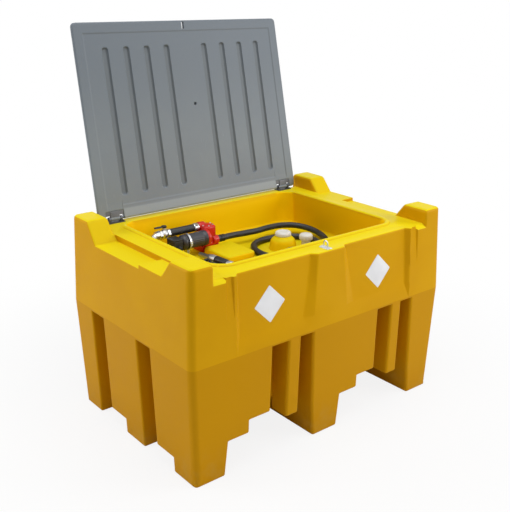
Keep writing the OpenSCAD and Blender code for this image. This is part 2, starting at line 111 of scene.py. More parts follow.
class Finish:
    # One material: its nodes, and the shader that they feed
    def __init__(self, name, colour, roughness, **shader):
        self.material = bpy.data.materials.new(name)
        self.material.use_nodes = True
        self.tree = self.material.node_tree
        self.tree.nodes.clear()
        self.shader = self.tree.nodes.new("ShaderNodeBsdfPrincipled")
        self.output = self.tree.nodes.new("ShaderNodeOutputMaterial")
        self.tree.links.new(self.shader.outputs[0], self.output.inputs[0])
        self.feed({"Base Color": (*colour, 1), "Roughness": roughness, **shader})
        self.place = self.node("ShaderNodeTexCoord", {}, {}, out="Object")

    def feed(self, sockets):
        for name, value in sockets.items():
            self.link(self.shader.inputs[name], value)

    def link(self, socket, value):
        if isinstance(value, Wire):
            self.tree.links.new(value.socket, socket)
        else:
            socket.default_value = value

    def node(self, kind, settings, sockets, out=0):
        made = self.tree.nodes.new(kind)
        for name, value in settings.items():
            setattr(made, name, value)
        for name, value in sockets.items():
            self.link(made.inputs[name], value)
        return Wire(self, made.outputs[out])

    def stretched(self, scale):
        return self.node("ShaderNodeMapping", {}, {"Vector": self.place, "Scale": scale})

    def attribute(self, name):
        return self.node("ShaderNodeAttribute", {"attribute_name": name}, {}, out="Fac")

    def noise(self, scale, detail=3, rough=0.5, where=None):
        return self.node("ShaderNodeTexNoise", {}, {"Vector": where or self.place, "Scale": scale,
                                                    "Detail": detail, "Roughness": rough})

    def split(self):
        parts = self.node("ShaderNodeSeparateXYZ", {}, {0: self.place}).socket.node
        return [Wire(self, output) for output in parts.outputs]

    def mix(self, share, first, second):
        first, second = ((*c, 1) if isinstance(c, tuple) else c for c in (first, second))
        return self.node("ShaderNodeMix", {"data_type": "RGBA"}, {0: share, 6: first, 7: second}, out=2)

    # Relief in metres, which bends the light on the surface
    def relief(self, height, depth):
        bump = self.node("ShaderNodeBump", {}, {"Height": height, "Distance": depth, "Strength": 1.0})
        self.feed({"Normal": bump})
        return self


def srgb(r, g, b):
    c = np.array([r, g, b]) / 255
    return tuple(float(v) for v in np.where(c <= 0.04045, c / 12.92, ((c + 0.055) / 1.055) ** 2.4))


# Colours of the plastics, some of them painted light and shade: the top and inside colours are painted
# light, the under colour and the lid's high and slot colours are painted shade, and the lid's worn colour
# also paints light on its lower strip
plastic = {"yellow": srgb(216, 160, 0), "deep": srgb(211, 154, 0), "top": srgb(234, 210, 18),
           "under": srgb(198, 140, 0), "inside": srgb(252, 203, 0), "worn": srgb(226, 186, 60),
           "dust": srgb(190, 160, 84), "lid": srgb(126, 133, 138), "lidWornAndLit": srgb(156, 163, 166),
           "lidDark": srgb(118, 125, 132), "lidHighShade": srgb(98, 106, 114), "lidSlotShade": srgb(96, 102, 106)}


def yellowFinish(name):
    f = Finish(name, plastic["yellow"], 0.4, **{"Specular IOR Level": 0.06})
    x, y, z = f.split()
    clouds = f.noise(3.2, 4)
    peel = f.noise(260, 2)
    swirl = f.noise(38, 3)
    scratches = f.noise(24, 5, 0.6, f.stretched((1, 1, 14)))
    scuffs = scratches.rise(0.66, 0.76) * f.noise(7, 2).rise(0.5, 0.66)
    low = 1 - z.rise(0.0, 0.16)
    dust = low * f.noise(17, 5, 0.65).rise(0.42, 0.7) * 0.25
    # Painted shade: below the band the body takes the darker under colour, more so towards the ground
    under = 1 - z.rise(0.4285, 0.4305)
    # Painted light inside the basin, which takes the brighter inside colour: between its ends, between its
    # sides, and above its floor
    ends = 1 - x.size().rise(0.414, 0.418)
    sides = 1 - (y - 0.025).size().rise(0.314, 0.318)
    inside = ends * sides * z.rise(0.54, 0.556)
    body = f.mix(clouds.rise(0.35, 0.68), plastic["deep"], plastic["yellow"])
    body = f.mix(under * (0.75 + 0.25 * low), body, plastic["under"])
    body = f.mix(inside, body, plastic["inside"])
    # Painted top light: faces that look up take the lighter top colour
    body = f.mix(f.attribute("paintedTopLight").rise(0.35, 0.8), body, plastic["top"])
    body = f.mix(scuffs * 0.3, body, plastic["worn"])
    body = f.mix(dust, body, plastic["dust"])
    f.feed({"Base Color": body, "Roughness": 0.36 + clouds * 0.1 + scuffs * 0.18 + dust * 0.4})
    return f.relief(peel * 0.25 + swirl * 0.45, 0.0009)


def lidFinish():
    f = Finish("lidGrey", plastic["lid"], 0.5, **{"Specular IOR Level": 0.4})
    clouds = f.noise(4, 4)
    grain = f.noise(320, 2)
    streaks = f.noise(30, 5, 0.6, f.stretched((6, 1, 1)))
    worn = streaks.rise(0.62, 0.75) * f.noise(9, 3).rise(0.45, 0.65)
    body = f.mix(clouds.rise(0.3, 0.7), plastic["lidDark"], plastic["lid"])
    body = f.mix(worn * 0.45, body, plastic["lidWornAndLit"])
    x, y, z = f.split()
    # Painted light: the lower strip of the open lid, which faces up towards the top lamp, is painted
    # lighter
    strip = (1 - z.rise(0.750, 0.757)) * (1 - x.size().rise(0.380, 0.386))
    # Painted shade: the open lid darkens towards its top
    body = f.mix(z.rise(0.8, 1.35) * 0.8, body, plastic["lidHighShade"])
    body = f.mix(strip * 0.6, body, plastic["lidWornAndLit"])
    # Painted shade in the slots and the dimple and along the field's top and right edges
    body = f.mix(f.attribute("hollow") * 0.7, body, plastic["lidSlotShade"])
    f.feed({"Base Color": body, "Roughness": 0.42 + clouds * 0.14 + worn * 0.12})
    return f.relief(grain * 0.3 + f.noise(46, 3) * 0.4, 0.0007)


def metalFinish(name, colour, dark, roughness, wear, stretch=(1, 1, 1)):
    f = Finish(name, colour, roughness, Metallic=1.0)
    brushed = f.noise(420, 3, 0.6, f.stretched(stretch))
    spots = f.noise(60, 5, 0.65).rise(0.5, 0.72)
    f.feed({"Base Color": f.mix(spots * wear, colour, dark),
            "Roughness": roughness - 0.08 + brushed * 0.16 + spots * 0.2})
    return f.relief(brushed + spots * 0.6, 0.00012)


def paintFinish(name, colour, chipped, roughness, wear, grain=0.00025, size=220):
    f = Finish(name, colour, roughness)
    peel = f.noise(size, 3)
    patches = f.noise(34, 5, 0.65)
    chips = patches.rise(0.64, 0.7) * wear
    shade = f.mix(f.noise(12, 3).rise(0.3, 0.7) * 0.35, colour, tuple(0.72 * c for c in colour))
    f.feed({"Base Color": f.mix(chips, shade, chipped),
            "Roughness": roughness - 0.07 + peel * 0.14 + chips * 0.2})
    return f.relief(peel - chips * 2, grain)


def rubberFinish():
    f = Finish("hoseRubber", srgb(30, 31, 33), 0.55)
    dusty = f.noise(40, 5, 0.6).rise(0.45, 0.75)
    weave = f.noise(900, 2)
    f.feed({"Base Color": f.mix(dusty * 0.5, srgb(26, 27, 29), srgb(72, 70, 66)),
            "Roughness": 0.42 + dusty * 0.3})
    return f.relief(weave, 0.0002)


finishes = {
    "yellow_plastic": yellowFinish("mouldedYellow"),
    "grey_plastic": lidFinish(),
    "bright_steel": metalFinish("zincSteel", srgb(206, 208, 210), srgb(140, 138, 134), 0.3, 0.55,
                                stretch=(1, 1, 9)),
    "dark_steel": metalFinish("blackSteel", srgb(92, 94, 98), srgb(60, 50, 44), 0.45, 0.6),
    "red_metal": paintFinish("redEnamel", srgb(206, 30, 16), srgb(120, 112, 106), 0.3, 0.8),
    "motor_grey": paintFinish("motorPaint", srgb(50, 50, 56), srgb(96, 96, 98), 0.4, 0.3, 0.0001),
    "black_plastic": paintFinish("blackNylon", srgb(28, 29, 31), srgb(66, 66, 66), 0.42, 0.5, 0.0002, 500),
    "black_rubber": rubberFinish(),
    "nozzle_metal": metalFinish("castAlloy", srgb(190, 190, 188), srgb(116, 112, 106), 0.38, 0.5),
    "white_plastic": paintFinish("whiteNylon", srgb(232, 230, 222), srgb(196, 190, 176), 0.38, 0.5,
                                 grain=0.0002, size=400),
    "vinyl": paintFinish("patchVinyl", srgb(240, 240, 241), srgb(216, 214, 210), 0.35, 0.4, 0.0001, 90),
    "lidDarkGrey": paintFinish("knuckleGrey", srgb(96, 98, 104), srgb(130, 130, 132), 0.45, 0.6),
}
print("finishes made")


# Shapes: each function gives its points and the quads between them.
# Here, the numbers of the four corners of every cell of a grid of points, rows by columns
def gridQuads(rows, columns, closed):
    i = np.arange(rows - 1)[:, None]
    j = np.arange(columns if closed else columns - 1)[None, :]
    k = (j + 1) % columns
    cells = [i * columns + j, i * columns + k, (i + 1) * columns + k, (i + 1) * columns + j]
    return np.stack(cells, axis=-1).reshape(-1, 4)


def gridPart(grid, closed=True):
    grid = np.asarray(grid, float)
    return grid.reshape(-1, 3), gridQuads(*grid.shape[:2], closed)


# Mesh from one or more parts: doubled points are merged, so seams and poles close, and faces turn outwards.
# The piece rides on body and, where a node is named, stands for that CAD node
def makePiece(name, slot, body, *parts, node=None, sharp=35, finish=None):
    starts = np.cumsum([0] + [len(points) for points, quads in parts])
    allPoints = np.concatenate([points for points, quads in parts])
    allQuads = np.concatenate([quads + start for (points, quads), start in zip(parts, starts)])
    mesh = bpy.data.meshes.new(name)
    mesh.from_pydata(allPoints.tolist(), [], allQuads.tolist())
    work = bmesh.new()
    work.from_mesh(mesh)
    bmesh.ops.remove_doubles(work, verts=work.verts, dist=2e-6)
    bmesh.ops.dissolve_degenerate(work, edges=work.edges, dist=1e-6)
    bmesh.ops.recalc_face_normals(work, faces=work.faces)
    work.to_mesh(mesh)
    work.free()
    mesh.shade_smooth()
    mesh.set_sharp_from_angle(angle=math.radians(sharp))
    piece = bpy.data.objects.new(name, mesh)
    bpy.context.collection.objects.link(piece)
    mesh.materials.append(finishes[finish or slot].material)
    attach(piece, body)
    if node:
        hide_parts(node)
    return piece


# A number for each point or face of a piece, which its finish reads by name
def addValues(piece, name, domain, values):
    piece.data.attributes.new(name, "FLOAT", domain).data.foreach_set("value", values)


# How far the points of a yellow piece look up, from 0 to 1; the finish paints the tops lighter by it, as
# painted top light
def addPaintedTopLight(piece):
    addValues(piece, "paintedTopLight", "POINT", [max(0.0, n.vector.z) for n in piece.data.vertex_normals])


toRight, toTop, toFront = (1, 0, 0), (0, 0, 1), (0, -1, 0)  # directions that pieces are turned about


def axes(direction):
    d = np.array(direction, float) / np.linalg.norm(direction)
    side = np.cross(d, [0, 0, 1]) if abs(d[2]) < 0.9 else np.array([1.0, 0, 0])
    side = side / np.linalg.norm(side)
    return side, np.cross(d, side), d


# A profile of (radius, distance) turned about an axis: point = foot + distance * axis + radius * spoke;
# ribs = (count, depth, first row, last row) swell the radius by depth * (1 + cos(count * angle)) / 2
def turnedPart(profile, foot, direction, sides=48, ribs=None):
    side, other, d = axes(direction)
    radius, along = np.array(profile, float).T
    angle = 2 * np.pi * np.arange(sides) / sides
    spokes = np.cos(angle)[:, None] * side + np.sin(angle)[:, None] * other
    radii = np.repeat(radius[:, None], sides, axis=1)
    if ribs:
        count, depth, first, last = ribs
        radii[first:last + 1] += depth * (0.5 + 0.5 * np.cos(count * angle))
    return gridPart(np.array(foot) + along[:, None, None] * d + radii[:, :, None] * spokes)


# Profile of a solid rod with rounded ends, from low to high along the axis
def rod(radius, low, high, soft=0.002, steps=4):
    t = np.linspace(0, np.pi / 2, steps)
    first = [(0, low), *zip(radius - soft + soft * np.sin(t), low + soft - soft * np.cos(t))]
    last = [*zip(radius - soft + soft * np.cos(t), high - soft + soft * np.sin(t)), (0, high)]
    return first + last


# Profile of a ring with a rectangular section
def band(inner, outer, low, high):
    return [(inner, low), (outer, low), (outer, high), (inner, high), (inner, low)]


# Rounded rectangle: each corner is a quarter circle about its centre; sizes may be arrays, one per row
def ringPoints(halfX, halfY, corner, steps=8):
    halfX, halfY, corner = (np.atleast_1d(np.asarray(v, float))[:, None] for v in (halfX, halfY, corner))
    quarter = np.linspace(0, np.pi / 2, steps)
    angle = np.concatenate([quarter + k * np.pi / 2 for k in range(4)])[None, :]
    signX = np.repeat([1, -1, -1, 1], steps)[None, :]
    signY = np.repeat([1, 1, -1, -1], steps)[None, :]
    x = signX * (halfX - corner) + corner * np.cos(angle)
    y = signY * (halfY - corner) + corner * np.sin(angle)
    return np.broadcast_arrays(x, y)


# Block with rounded upright corners and rounded top and bottom edges: rings stacked up its height;
# place, if given, carries the finished points somewhere else
def blockPart(low, high, corner, edge, taper=0.0, steps=6, place=None):
    low, high = np.array(low, float), np.array(high, float)
    middle, half = (low + high) / 2, (high - low) / 2
    t = np.linspace(0, np.pi / 2, 5)
    inset = np.concatenate([[edge], edge - edge * np.sin(t), edge - edge * np.cos(t), [edge]])
    z = np.concatenate([[low[2]], low[2] + edge - edge * np.cos(t),
                        high[2] - edge + edge * np.sin(t), [high[2]]])
    lean = taper * (z - low[2]) / (high[2] - low[2])
    halfX, halfY = half[0] - inset - lean, half[1] - inset - lean
    halfX[[0, -1]], halfY[[0, -1]] = halfX[[0, -1]] * 1e-6, halfY[[0, -1]] * 1e-6
    r = np.minimum(np.maximum(corner - inset, edge * 0.2), np.minimum(halfX, halfY) * 0.999)
    x, y = ringPoints(halfX, halfY, r, steps)
    grid = np.stack([middle[0] + x, middle[1] + y, np.broadcast_to(z[:, None], x.shape)], axis=-1)
    return gridPart(grid if place is None else place(grid))


# Smooth line through points: cubic pieces whose ends share the slope of their neighbours
def smoothPath(points, steps):
    p = np.array(points, float)
    q = np.concatenate([p[:1], p, p[-1:]])
    t = (np.arange(steps) / steps)[None, :, None]
    a, b, c, d = q[:-3, None], q[1:-2, None], q[2:-1, None], q[3:, None]
    line = 0.5 * (2 * b + (c - a) * t + (2 * a - 5 * b + 4 * c - d) * t**2 + (3 * b - a - 3 * c + d) * t**3)
    return np.concatenate([line.reshape(-1, 3), p[-1:]])


# Round tube along a path: ring = path point + radius * (cos * across + sin * over), closed by a point at
# each end; flat squeezes it along over
def tubePart(path, radius, sides=20, up=(0, 0, 1), flat=1.0):
    path = np.asarray(path, float)
    radius = np.broadcast_to(np.asarray(radius, float), len(path))
    way = np.gradient(path, axis=0)
    way = way / np.linalg.norm(way, axis=1)[:, None]
    across = np.cross(way, up)
    across = across / np.linalg.norm(across, axis=1)[:, None]
    over = np.cross(across, way) * flat
    angle = 2 * np.pi * np.arange(sides) / sides
    ring = np.cos(angle)[None, :, None] * across[:, None] + np.sin(angle)[None, :, None] * over[:, None]
    grid = path[:, None] + radius[:, None, None] * ring
    first, last = np.broadcast_to(path[0], (1, sides, 3)), np.broadcast_to(path[-1], (1, sides, 3))
    return gridPart(np.concatenate([first, grid, last]))


# Screws, one at each foot: a round washer, and a six-sided head with its top corners taken off
def screwParts(feet, direction, across):
    r = across / 2
    head = [(0, r * 0.3), (r * 1.1, r * 0.3), (r * 1.1, r * 1.15), (r * 0.95, r * 1.3), (0, r * 1.3)]
    return [turnedPart(profile, foot, direction, sides) for foot in feet
            for profile, sides in ((rod(r * 1.35, 0, r * 0.3, r * 0.08, 2), 20), (head, 6))]


# Delivery hose: sizes in metres, and the route in millimetres from the pump round the filler to the nozzle
hose = {"across": 0.025, "length": 2.026, "exit": (-0.0144, 0.220, 0.602), "route": [
    [-14.4, 220, 602], [30, 220, 602], [90, 212, 602], [150, 210, 601], [215, 218, 600], [280, 214, 599],
    [335, 188, 596], [368, 140, 590], [376, 80, 582], [358, 16, 576], [314, -44, 573], [250, -88, 573],
    [180, -104, 573], [110, -94, 573], [50, -56, 573], [28, 6, 573], [36, 74, 573], [68, 130, 573],
    [120, 160, 573], [180, 164, 573], [240, 148, 573], [290, 110, 573], [312, 54, 573], [302, -2, 573],
    [264, -44, 573], [205, -60, 578], [145, -58, 590], [85, -66, 598], [30, -91, 598.5], [-22, -112, 594],
    [-62, -118.4, 586.5], [-101, -107.4, 580.2], [-132.6, -79.8, 577.5], [-146.6, -53, 577.3],
    [-150.1, -36.5, 577.3], [-151.94, -20.5, 577.3]]}
hosePath = smoothPath(np.array(hose["route"]) / 1000, 8)
deliveryHose = makePiece("deliveryHose", "black_rubber", "tank", tubePart(hosePath, hose["across"] / 2),
                         node="delivery_hose", sharp=60)
print("hose laid,", round(float(np.linalg.norm(np.diff(hosePath, axis=0), axis=1).sum()), 3), "m")


# Moulded tank: its levels and, for each line of the form, its place at some heights, in millimetres
tank = {
    "levels": {"ground": 0, "gap": 55, "pocket": 126, "crown": 175, "groove": 421, "band": 430,
               "flare": 485, "notch": 560, "wall": 615, "backPanel": 684, "step": 692, "ledge": 698,
               "deck": 706, "lug": 762},
    "lengthwise": {  # left half; the right half is the same turned over
        "outer": ([0, 430, 762], [-577, -600, -593]),
        "endBack": ([0, 421, 560], [-500, -500, -504]),
        "step": ([0, 421, 560], [-475, -475, -474]),
        "notchOut": ([0, 421, 560], [-465, -465, -459]),
        "notchIn": ([0, 126, 421, 430, 560], [-460, -455, -446, -430, -426]),
        "leg": ([0, 126, 421, 430], [-454, -443, -432, -416]),
        "ribBack": ([0], [-377.5]), "crownOut": ([0], [-356]), "grooveBackIn": ([0], [-319.5]),
        "grooveOut": ([0], [-265.5]), "crownEdge": ([0], [-249.5]), "grooveIn": ([0], [-195.5]),
        "crownIn": ([0], [-159]), "rib": ([0], [-137.5]),
        "post": ([0, 126, 421, 430, 706], [-61, -72, -83, -83, -64]),
    },
    "crosswise": {  # front half; the back half is the same turned over, apart from the basin
        "outer": ([0, 430, 762], [-382, -400, -393]),
        "notch": ([0, 560, 706, 762], [-370, -397, -386.5, -384.5]),
        "panel": ([0, 421, 430, 485, 706, 762], [-350, -370, -400, -386.5, -375, -360]),
        "grooveBack": ([0, 421, 560, 706], [-305, -305, -279, -291]),
        "corner": ([0, 430, 684, 698, 706, 762], [-254, -254, -213, -224, -230.5, -275]),
        "endFar": ([0], [-168]), "endNear": ([0], [-150]), "mid": ([0, 421, 684], [-64, -64, -90]),
    },
    # Hollows: first and last line lengthwise, the same crosswise, first and last level; "-" marks a line
    # after a half turn. Those of "pairs" come again after a half turn of the whole tank
    "pairs": [
        "leg post outer -outer ground pocket", "crownOut crownIn grooveBack -grooveBack pocket crown",
        "crownOut grooveOut outer grooveBack pocket crown",
        "grooveOut grooveIn outer grooveBack pocket groove",
        "rib post outer grooveBack pocket groove", "-crownIn -crownEdge outer grooveBack pocket crown",
        "-crownEdge -grooveBackIn outer grooveBack pocket groove",
        "-ribBack -leg outer grooveBack pocket groove", "outer endBack endNear mid ground groove",
        "outer endBack -endFar -corner ground groove", "outer endBack corner mid ledge deck",
        "outer endBack mid -corner backPanel deck", "notchOut notchIn outer notch notch deck",
        "-notchOut -notchIn outer notch notch deck", "endBack notchOut outer panel step deck",
        "-endBack -notchOut outer panel step deck", "endBack -endBack outer -outer deck lug",
        "outer endBack corner -corner deck lug"],
    "singles": [
        "outer leg corner endNear ground gap", "outer leg -mid -endFar ground gap",
        "-step -outer -corner -endNear ground gap", "-step -outer endFar mid ground gap",
        "leg post outer panel band deck", "-leg -post outer panel band deck",
        "leg post -panel -outer band backPanel", "-leg -post -panel -outer band backPanel"],
    # Slopes of the sides of panels and notches: shift at some heights
    "postFlare": ([430, 485, 706], [0, 42, 17]), "panelFlare": ([430, 485], [0, 14]),
    "notchFlare": ([560, 706], [0, 7]), "stepRise": (697.6, 701.6), "deckCorner": (0.474, 0.375),
    # Roundings of the edges, in metres
    "soft": 0.0075, "upright": 0.026, "rim": 0.0075, "backRim": 0.005, "bay": 0.011, "lug": 0.014,
    "small": 0.003, "panel": 0.005, "grooveTop": 0.0045, "widest": 0.026,
    # Basin, in millimetres
    "mouth": (416, 316), "middle": 25, "mouthCorner": 60, "cornerSteps": 12, "draft": 12, "floorCorner": 24,
    "lip": [(23, 0), (22, 1.6), (19.5, 4.6), (16, 6.4), (12, 7), (8, 6.6), (5, 5.2), (2.6, 2.6), (1, -1.4),
            (0, -7)],
}


# Points of a lattice whose lines lean with height, and a face wherever a filled cell meets an empty one
def latticeFaces(points, filled):
    full = np.pad(filled, 1)
    quads = []
    for axis in range(3):
        low = np.moveaxis(full, axis, 0)[:-1]
        high = np.moveaxis(full, axis, 0)[1:]
        a, b = (axis + 1) % 3, (axis + 2) % 3
        rest = [k for k in range(3) if k != axis]
        for wall, order in ((low & ~high, (0, 1, 2, 3)), (high & ~low, (0, 3, 2, 1))):
            found = np.argwhere(wall)
            place = np.zeros((len(found), 3), int)
            place[:, axis] = found[:, 0]
            place[:, rest] = found[:, 1:] - 1
            corners = np.repeat(place[:, None], 4, axis=1)
            corners[:, 1:3, a] += 1
            corners[:, 2:4, b] += 1
            numbers = np.ravel_multi_index(tuple(np.moveaxis(corners, -1, 0)), points.shape[:3])
            quads.append(numbers[:, order])
    return points.reshape(-1, 3), np.concatenate(quads)


def smooth(v):
    v = np.clip(v, 0, 1)
    return v * v * (3 - 2 * v)


# Basin from the foot of its lip down to the middle of its floor: rounded rectangles, each with an offset
# outwards from the mouth and a height. The walls draw in by the draft and turn into the floor on an arc,
# and the lip runs out towards the hinges
def basinGrid(t):
    turn = np.linspace(0, np.pi / 2, 8)
    low, deck, r = t["levels"]["notch"], t["levels"]["deck"], t["floorCorner"]
    out, rise = np.array(t["lip"], float).T
    out = np.concatenate([out, [0], r * (np.cos(turn) - 1), [-r - 40, -r - 150]])
    z = np.concatenate([deck + rise, [low + r + 60], low + r - r * np.sin(turn), [low, low]])
    lean = np.clip((deck - z) / (deck - low), 0, 1) * t["draft"]
    corner = np.maximum(t["mouthCorner"] + out, 20)
    x, y = ringPoints(t["mouth"][0] + out, t["mouth"][1] + out - lean, corner, t["cornerSteps"])
    y = y + t["middle"]
    high = np.clip(z - deck, 0, None)[:, None] * smooth((y - 270) / 60)
    grid = np.stack([x, y, z[:, None] - high], axis=-1)
    centre = np.broadcast_to([0, t["middle"], low], (1, x.shape[1], 3))
    return np.concatenate([grid, centre]) / 1000


# The open outline of the shell at deck height, as a loop of vertices that starts at the back right and runs
# to the left
def deckOutline(work):
    after = {}
    for edge in work.edges:
        if edge.is_boundary and min(v.co.z for v in edge.verts) > 0.7055:
            for v in edge.verts:
                after.setdefault(v, []).append(edge.other_vert(v))
    start = max(after, key=lambda v: v.co.x + v.co.y)
    loop, last = [start], None
    while True:
        ahead = [v for v in after[loop[-1]] if v is not last]
        step = ahead[0] if last else max(ahead, key=lambda v: v.co.y - v.co.x)
        last = loop[-1]
        if step is start:
            return loop
        loop.append(step)


# Basin, and a flat deck between the foot of its lip and the outline of the shell, in four faces that meet
# along lines from the middles of the lip's corners
def addDeck(work, t):
    loop = deckOutline(work)
    ring, quads = gridPart(basinGrid(t))
    verts = [work.verts.new(point) for point in ring.tolist()]
    for quad in quads.tolist():
        work.faces.new([verts[k] for k in quad])
    cornerX, cornerY = t["deckCorner"]
    corners = [(cornerX, cornerY), (-cornerX, cornerY), (-cornerX, -cornerY), (cornerX, -cornerY)]
    ends = [min(range(len(loop)), key=lambda k: math.dist(loop[k].co[:2], c)) for c in corners]
    n = t["cornerSteps"]
    for k in range(4):
        first, second = ends[k], ends[(k + 1) % 4]
        run = loop[first:second + 1] if second > first else loop[first:] + loop[:second + 1]
        inner = [verts[(n * k + n // 2 + i) % (4 * n)] for i in range(n + 1)]
        work.faces.new(run + inner[::-1])
    print("deck", len(loop), "outline points")


# Number of a line by its name; "-" marks the same line after a half turn
def lineNumber(lines, name):
    i = list(lines).index(name.lstrip("-"))
    return 2 * len(lines) - 1 - i if name[0] == "-" else i


# Cells of the tank's lattice: all filled, less the hollows of the form
def tankCells(t):
    grid = t["lengthwise"], t["crosswise"], t["levels"]
    filled = np.ones((2 * len(grid[0]) - 1, 2 * len(grid[1]) - 1, len(grid[2]) - 1), bool)
    for row in t["pairs"] + t["singles"]:
        names = row.split()
        ends = [sorted(lineNumber(lines, name) for name in names[2 * k:2 * k + 2])
                for k, lines in enumerate(grid)]
        hollow = np.zeros_like(filled)
        hollow[tuple(slice(*pair) for pair in ends)] = True
        if row in t["pairs"]:
            hollow |= hollow[::-1, ::-1]
        filled &= ~hollow
    return filled


# Points of the tank's lattice in millimetres: its lines lean with height
def tankPoints(t):
    levels, across = t["levels"], t["crosswise"]
    zs = np.array(list(levels.values()), float)
    halves = [[np.interp(zs, *line) for line in lines.values()] for lines in (t["lengthwise"], across)]
    xs, ys = (np.array(half + [-line for line in half[::-1]]) for half in halves)
    points = np.broadcast_arrays(xs[:, None, :], ys[None, :, :], zs[None, None, :])
    points = np.stack(points, axis=-1).copy()
    left = {name: i for i, name in enumerate(t["lengthwise"])}
    right = {name: len(xs) - 1 - i for name, i in left.items()}
    level = {name: k for k, name in enumerate(levels)}
    foot = level["notch"] + 1
    steps = [level["step"], level["ledge"]]
    for turned in ("", "-"):
        face, notch, panel = (lineNumber(across, turned + name) for name in ("outer", "notch", "panel"))
        # The notches run out at their foot, and the sides of notches and panels slope into the hollow
        points[:, notch, :foot] = points[:, face, :foot]
        depth = np.maximum(np.abs(ys[face] - ys[panel]), 1e-9)
        share = np.where(zs > levels["notch"], np.abs(ys[face] - ys[notch]) / depth, 0)
        for line, amount in (("post", "postFlare"), ("leg", "panelFlare")):
            shift = np.interp(zs, *t[amount]) * (zs > levels["band"]) * (-1 if line == "post" else 1)
            for j, part in ((panel, 1), (notch, share)):
                points[left[line], j, :, 0] += shift * part
                points[right[line], j, :, 0] -= shift * part
        # The low steps of the rim slope up to the deck
        for i in (side[line] for side in (left, right) for line in ("endBack", "step", "notchOut")):
            points[i, notch, steps, 2] = t["stepRise"]
            points[i, panel, steps] = points[i, panel, level["deck"]]
        for line, way in (("notchOut", 1), ("notchIn", -1)):
            shift = np.interp(zs, *t["notchFlare"]) * way
            points[left[line], notch, :, 0] += shift
            points[right[line], notch, :, 0] -= shift
    return points


# The tank as one skin: flat faces of the lattice joined into whole ones, deck and basin set in, and every
# edge rounded by its own radius
def mouldedTank(t):
    verts, quads = latticeFaces(tankPoints(t) / 1000, tankCells(t))
    deck = np.all(np.abs(verts[quads][:, :, 2] - t["levels"]["deck"] / 1000) < 1e-6, axis=1)
    piece = makePiece("mouldedTank", "yellow_plastic", "tank", (verts, quads[~deck]))
    work = bmesh.new()
    work.from_mesh(piece.data)
    bmesh.ops.delete(work, geom=[v for v in work.verts if not v.link_faces], context="VERTS")
    bmesh.ops.dissolve_limit(work, angle_limit=math.radians(2.2), verts=work.verts, edges=work.edges)
    straight = [v for v in work.verts if len(v.link_edges) == 2 and v.calc_edge_angle(9) < 0.02]
    bmesh.ops.dissolve_verts(work, verts=straight)
    addDeck(work, t)
    bmesh.ops.remove_doubles(work, verts=work.verts, dist=2e-6)
    bmesh.ops.recalc_face_normals(work, faces=work.faces)
    weight = work.edges.layers.float.new("bevel_weight_edge")
    for edge in work.edges:
        if len(edge.link_faces) == 2 and edge.calc_face_angle(0) > math.radians(16):
            edge[weight] = edgeRadius(edge, t) / t["widest"]
    print("tank edges", len(work.edges), "open", sum(not e.is_manifold for e in work.edges))
    work.to_mesh(piece.data)
    work.free()
    soften = piece.modifiers.new("soften", "BEVEL")
    soften.limit_method = "WEIGHT"
    soften.width = t["widest"]
    soften.segments = 4
    soften.use_clamp_overlap = False
    soften.harden_normals = True
    piece.data.shade_smooth()
    # How far each face looks up, which the finish turns into painted top light
    addValues(piece, "paintedTopLight", "FACE", [max(0.0, f.normal.z) for f in piece.data.polygons])
    return piece


# How far the mould is rounded along an edge, by where its middle lies, in metres
def edgeRadius(edge, t):
    a, b = (np.array(v.co) for v in edge.verts)
    middle, run = (a + b) / 2, np.abs(b - a)
    x, y, z = abs(middle[0]), abs(middle[1]), middle[2]
    upright = run[2] > 3 * max(run[0], run[1])
    if z > 0.55 and x < 0.445 and y < 0.366:  # basin and lip, which have their own curve
        return 0.0
    if upright and x > 0.565 and y > 0.37:  # the four outer corners
        return t["upright"]
    if 0.4295 < min(a[2], b[2]) < 0.4305 and max(a[2], b[2]) < 0.4855:  # where the panels run out
        return 0.0
    if z > 0.73 and x > 0.5:  # tops of the raised corners
        return t["lug"]
    if x > 0.47 and 0.68 < z < 0.709:  # ledges between them
        return t["small"]
    if z > 0.55 and y > 0.372 and 0.404 < x < 0.47:  # notches beside the panels
        return t["small"] if z > 0.7055 else 0.0
    if abs(z - 0.706) < 0.001:  # rim, narrower where the hinges stand
        return t["rim"] if middle[1] < 0.36 else t["backRim"]
    if z > 0.425 and y > 0.372 and x < 0.47:  # set-back panels
        return t["panel"]
    if abs(z - 0.421) < 0.002:  # tops of the grooves
        return t["grooveTop"]
    if upright and z < 0.43 and y > 0.372 and x < 0.47:  # bays in the front and back
        return t["bay"]
    return t["soft"]


tankSkin = mouldedTank(tank)
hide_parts("left_runner", "middle_runner", "right_runner", "tank_floor", "front_lower_wall",
            "back_lower_wall", "left_lower_wall", "right_lower_wall", "front_rim", "back_rim", "left_rim",
            "right_rim", "front_left_corner", "front_right_corner", "back_left_corner", "back_right_corner",
            "basin_floor")

# Shelf under the pump row
shelf = {"low": (-0.125, 0.045, 0.559), "high": (0.015, 0.215, 0.584), "corner": 0.016, "edge": 0.007,
         "taper": 0.002}
addPaintedTopLight(makePiece("equipmentShelf", "yellow_plastic", "tank", blockPart(*shelf.values(), steps=10),
                    node="equipment_shelf"))

# Two plain patches on the front panels, standing on their corners; foot and head lie on the panels' slope
patch = {"places": ((-0.269, 0.570), (0.253, 0.568)), "half": 0.0465, "thick": 0.0005, "gap": 0.0002,
         "foot": (0, -0.388, 0.450), "head": (0, -0.375, 0.706)}


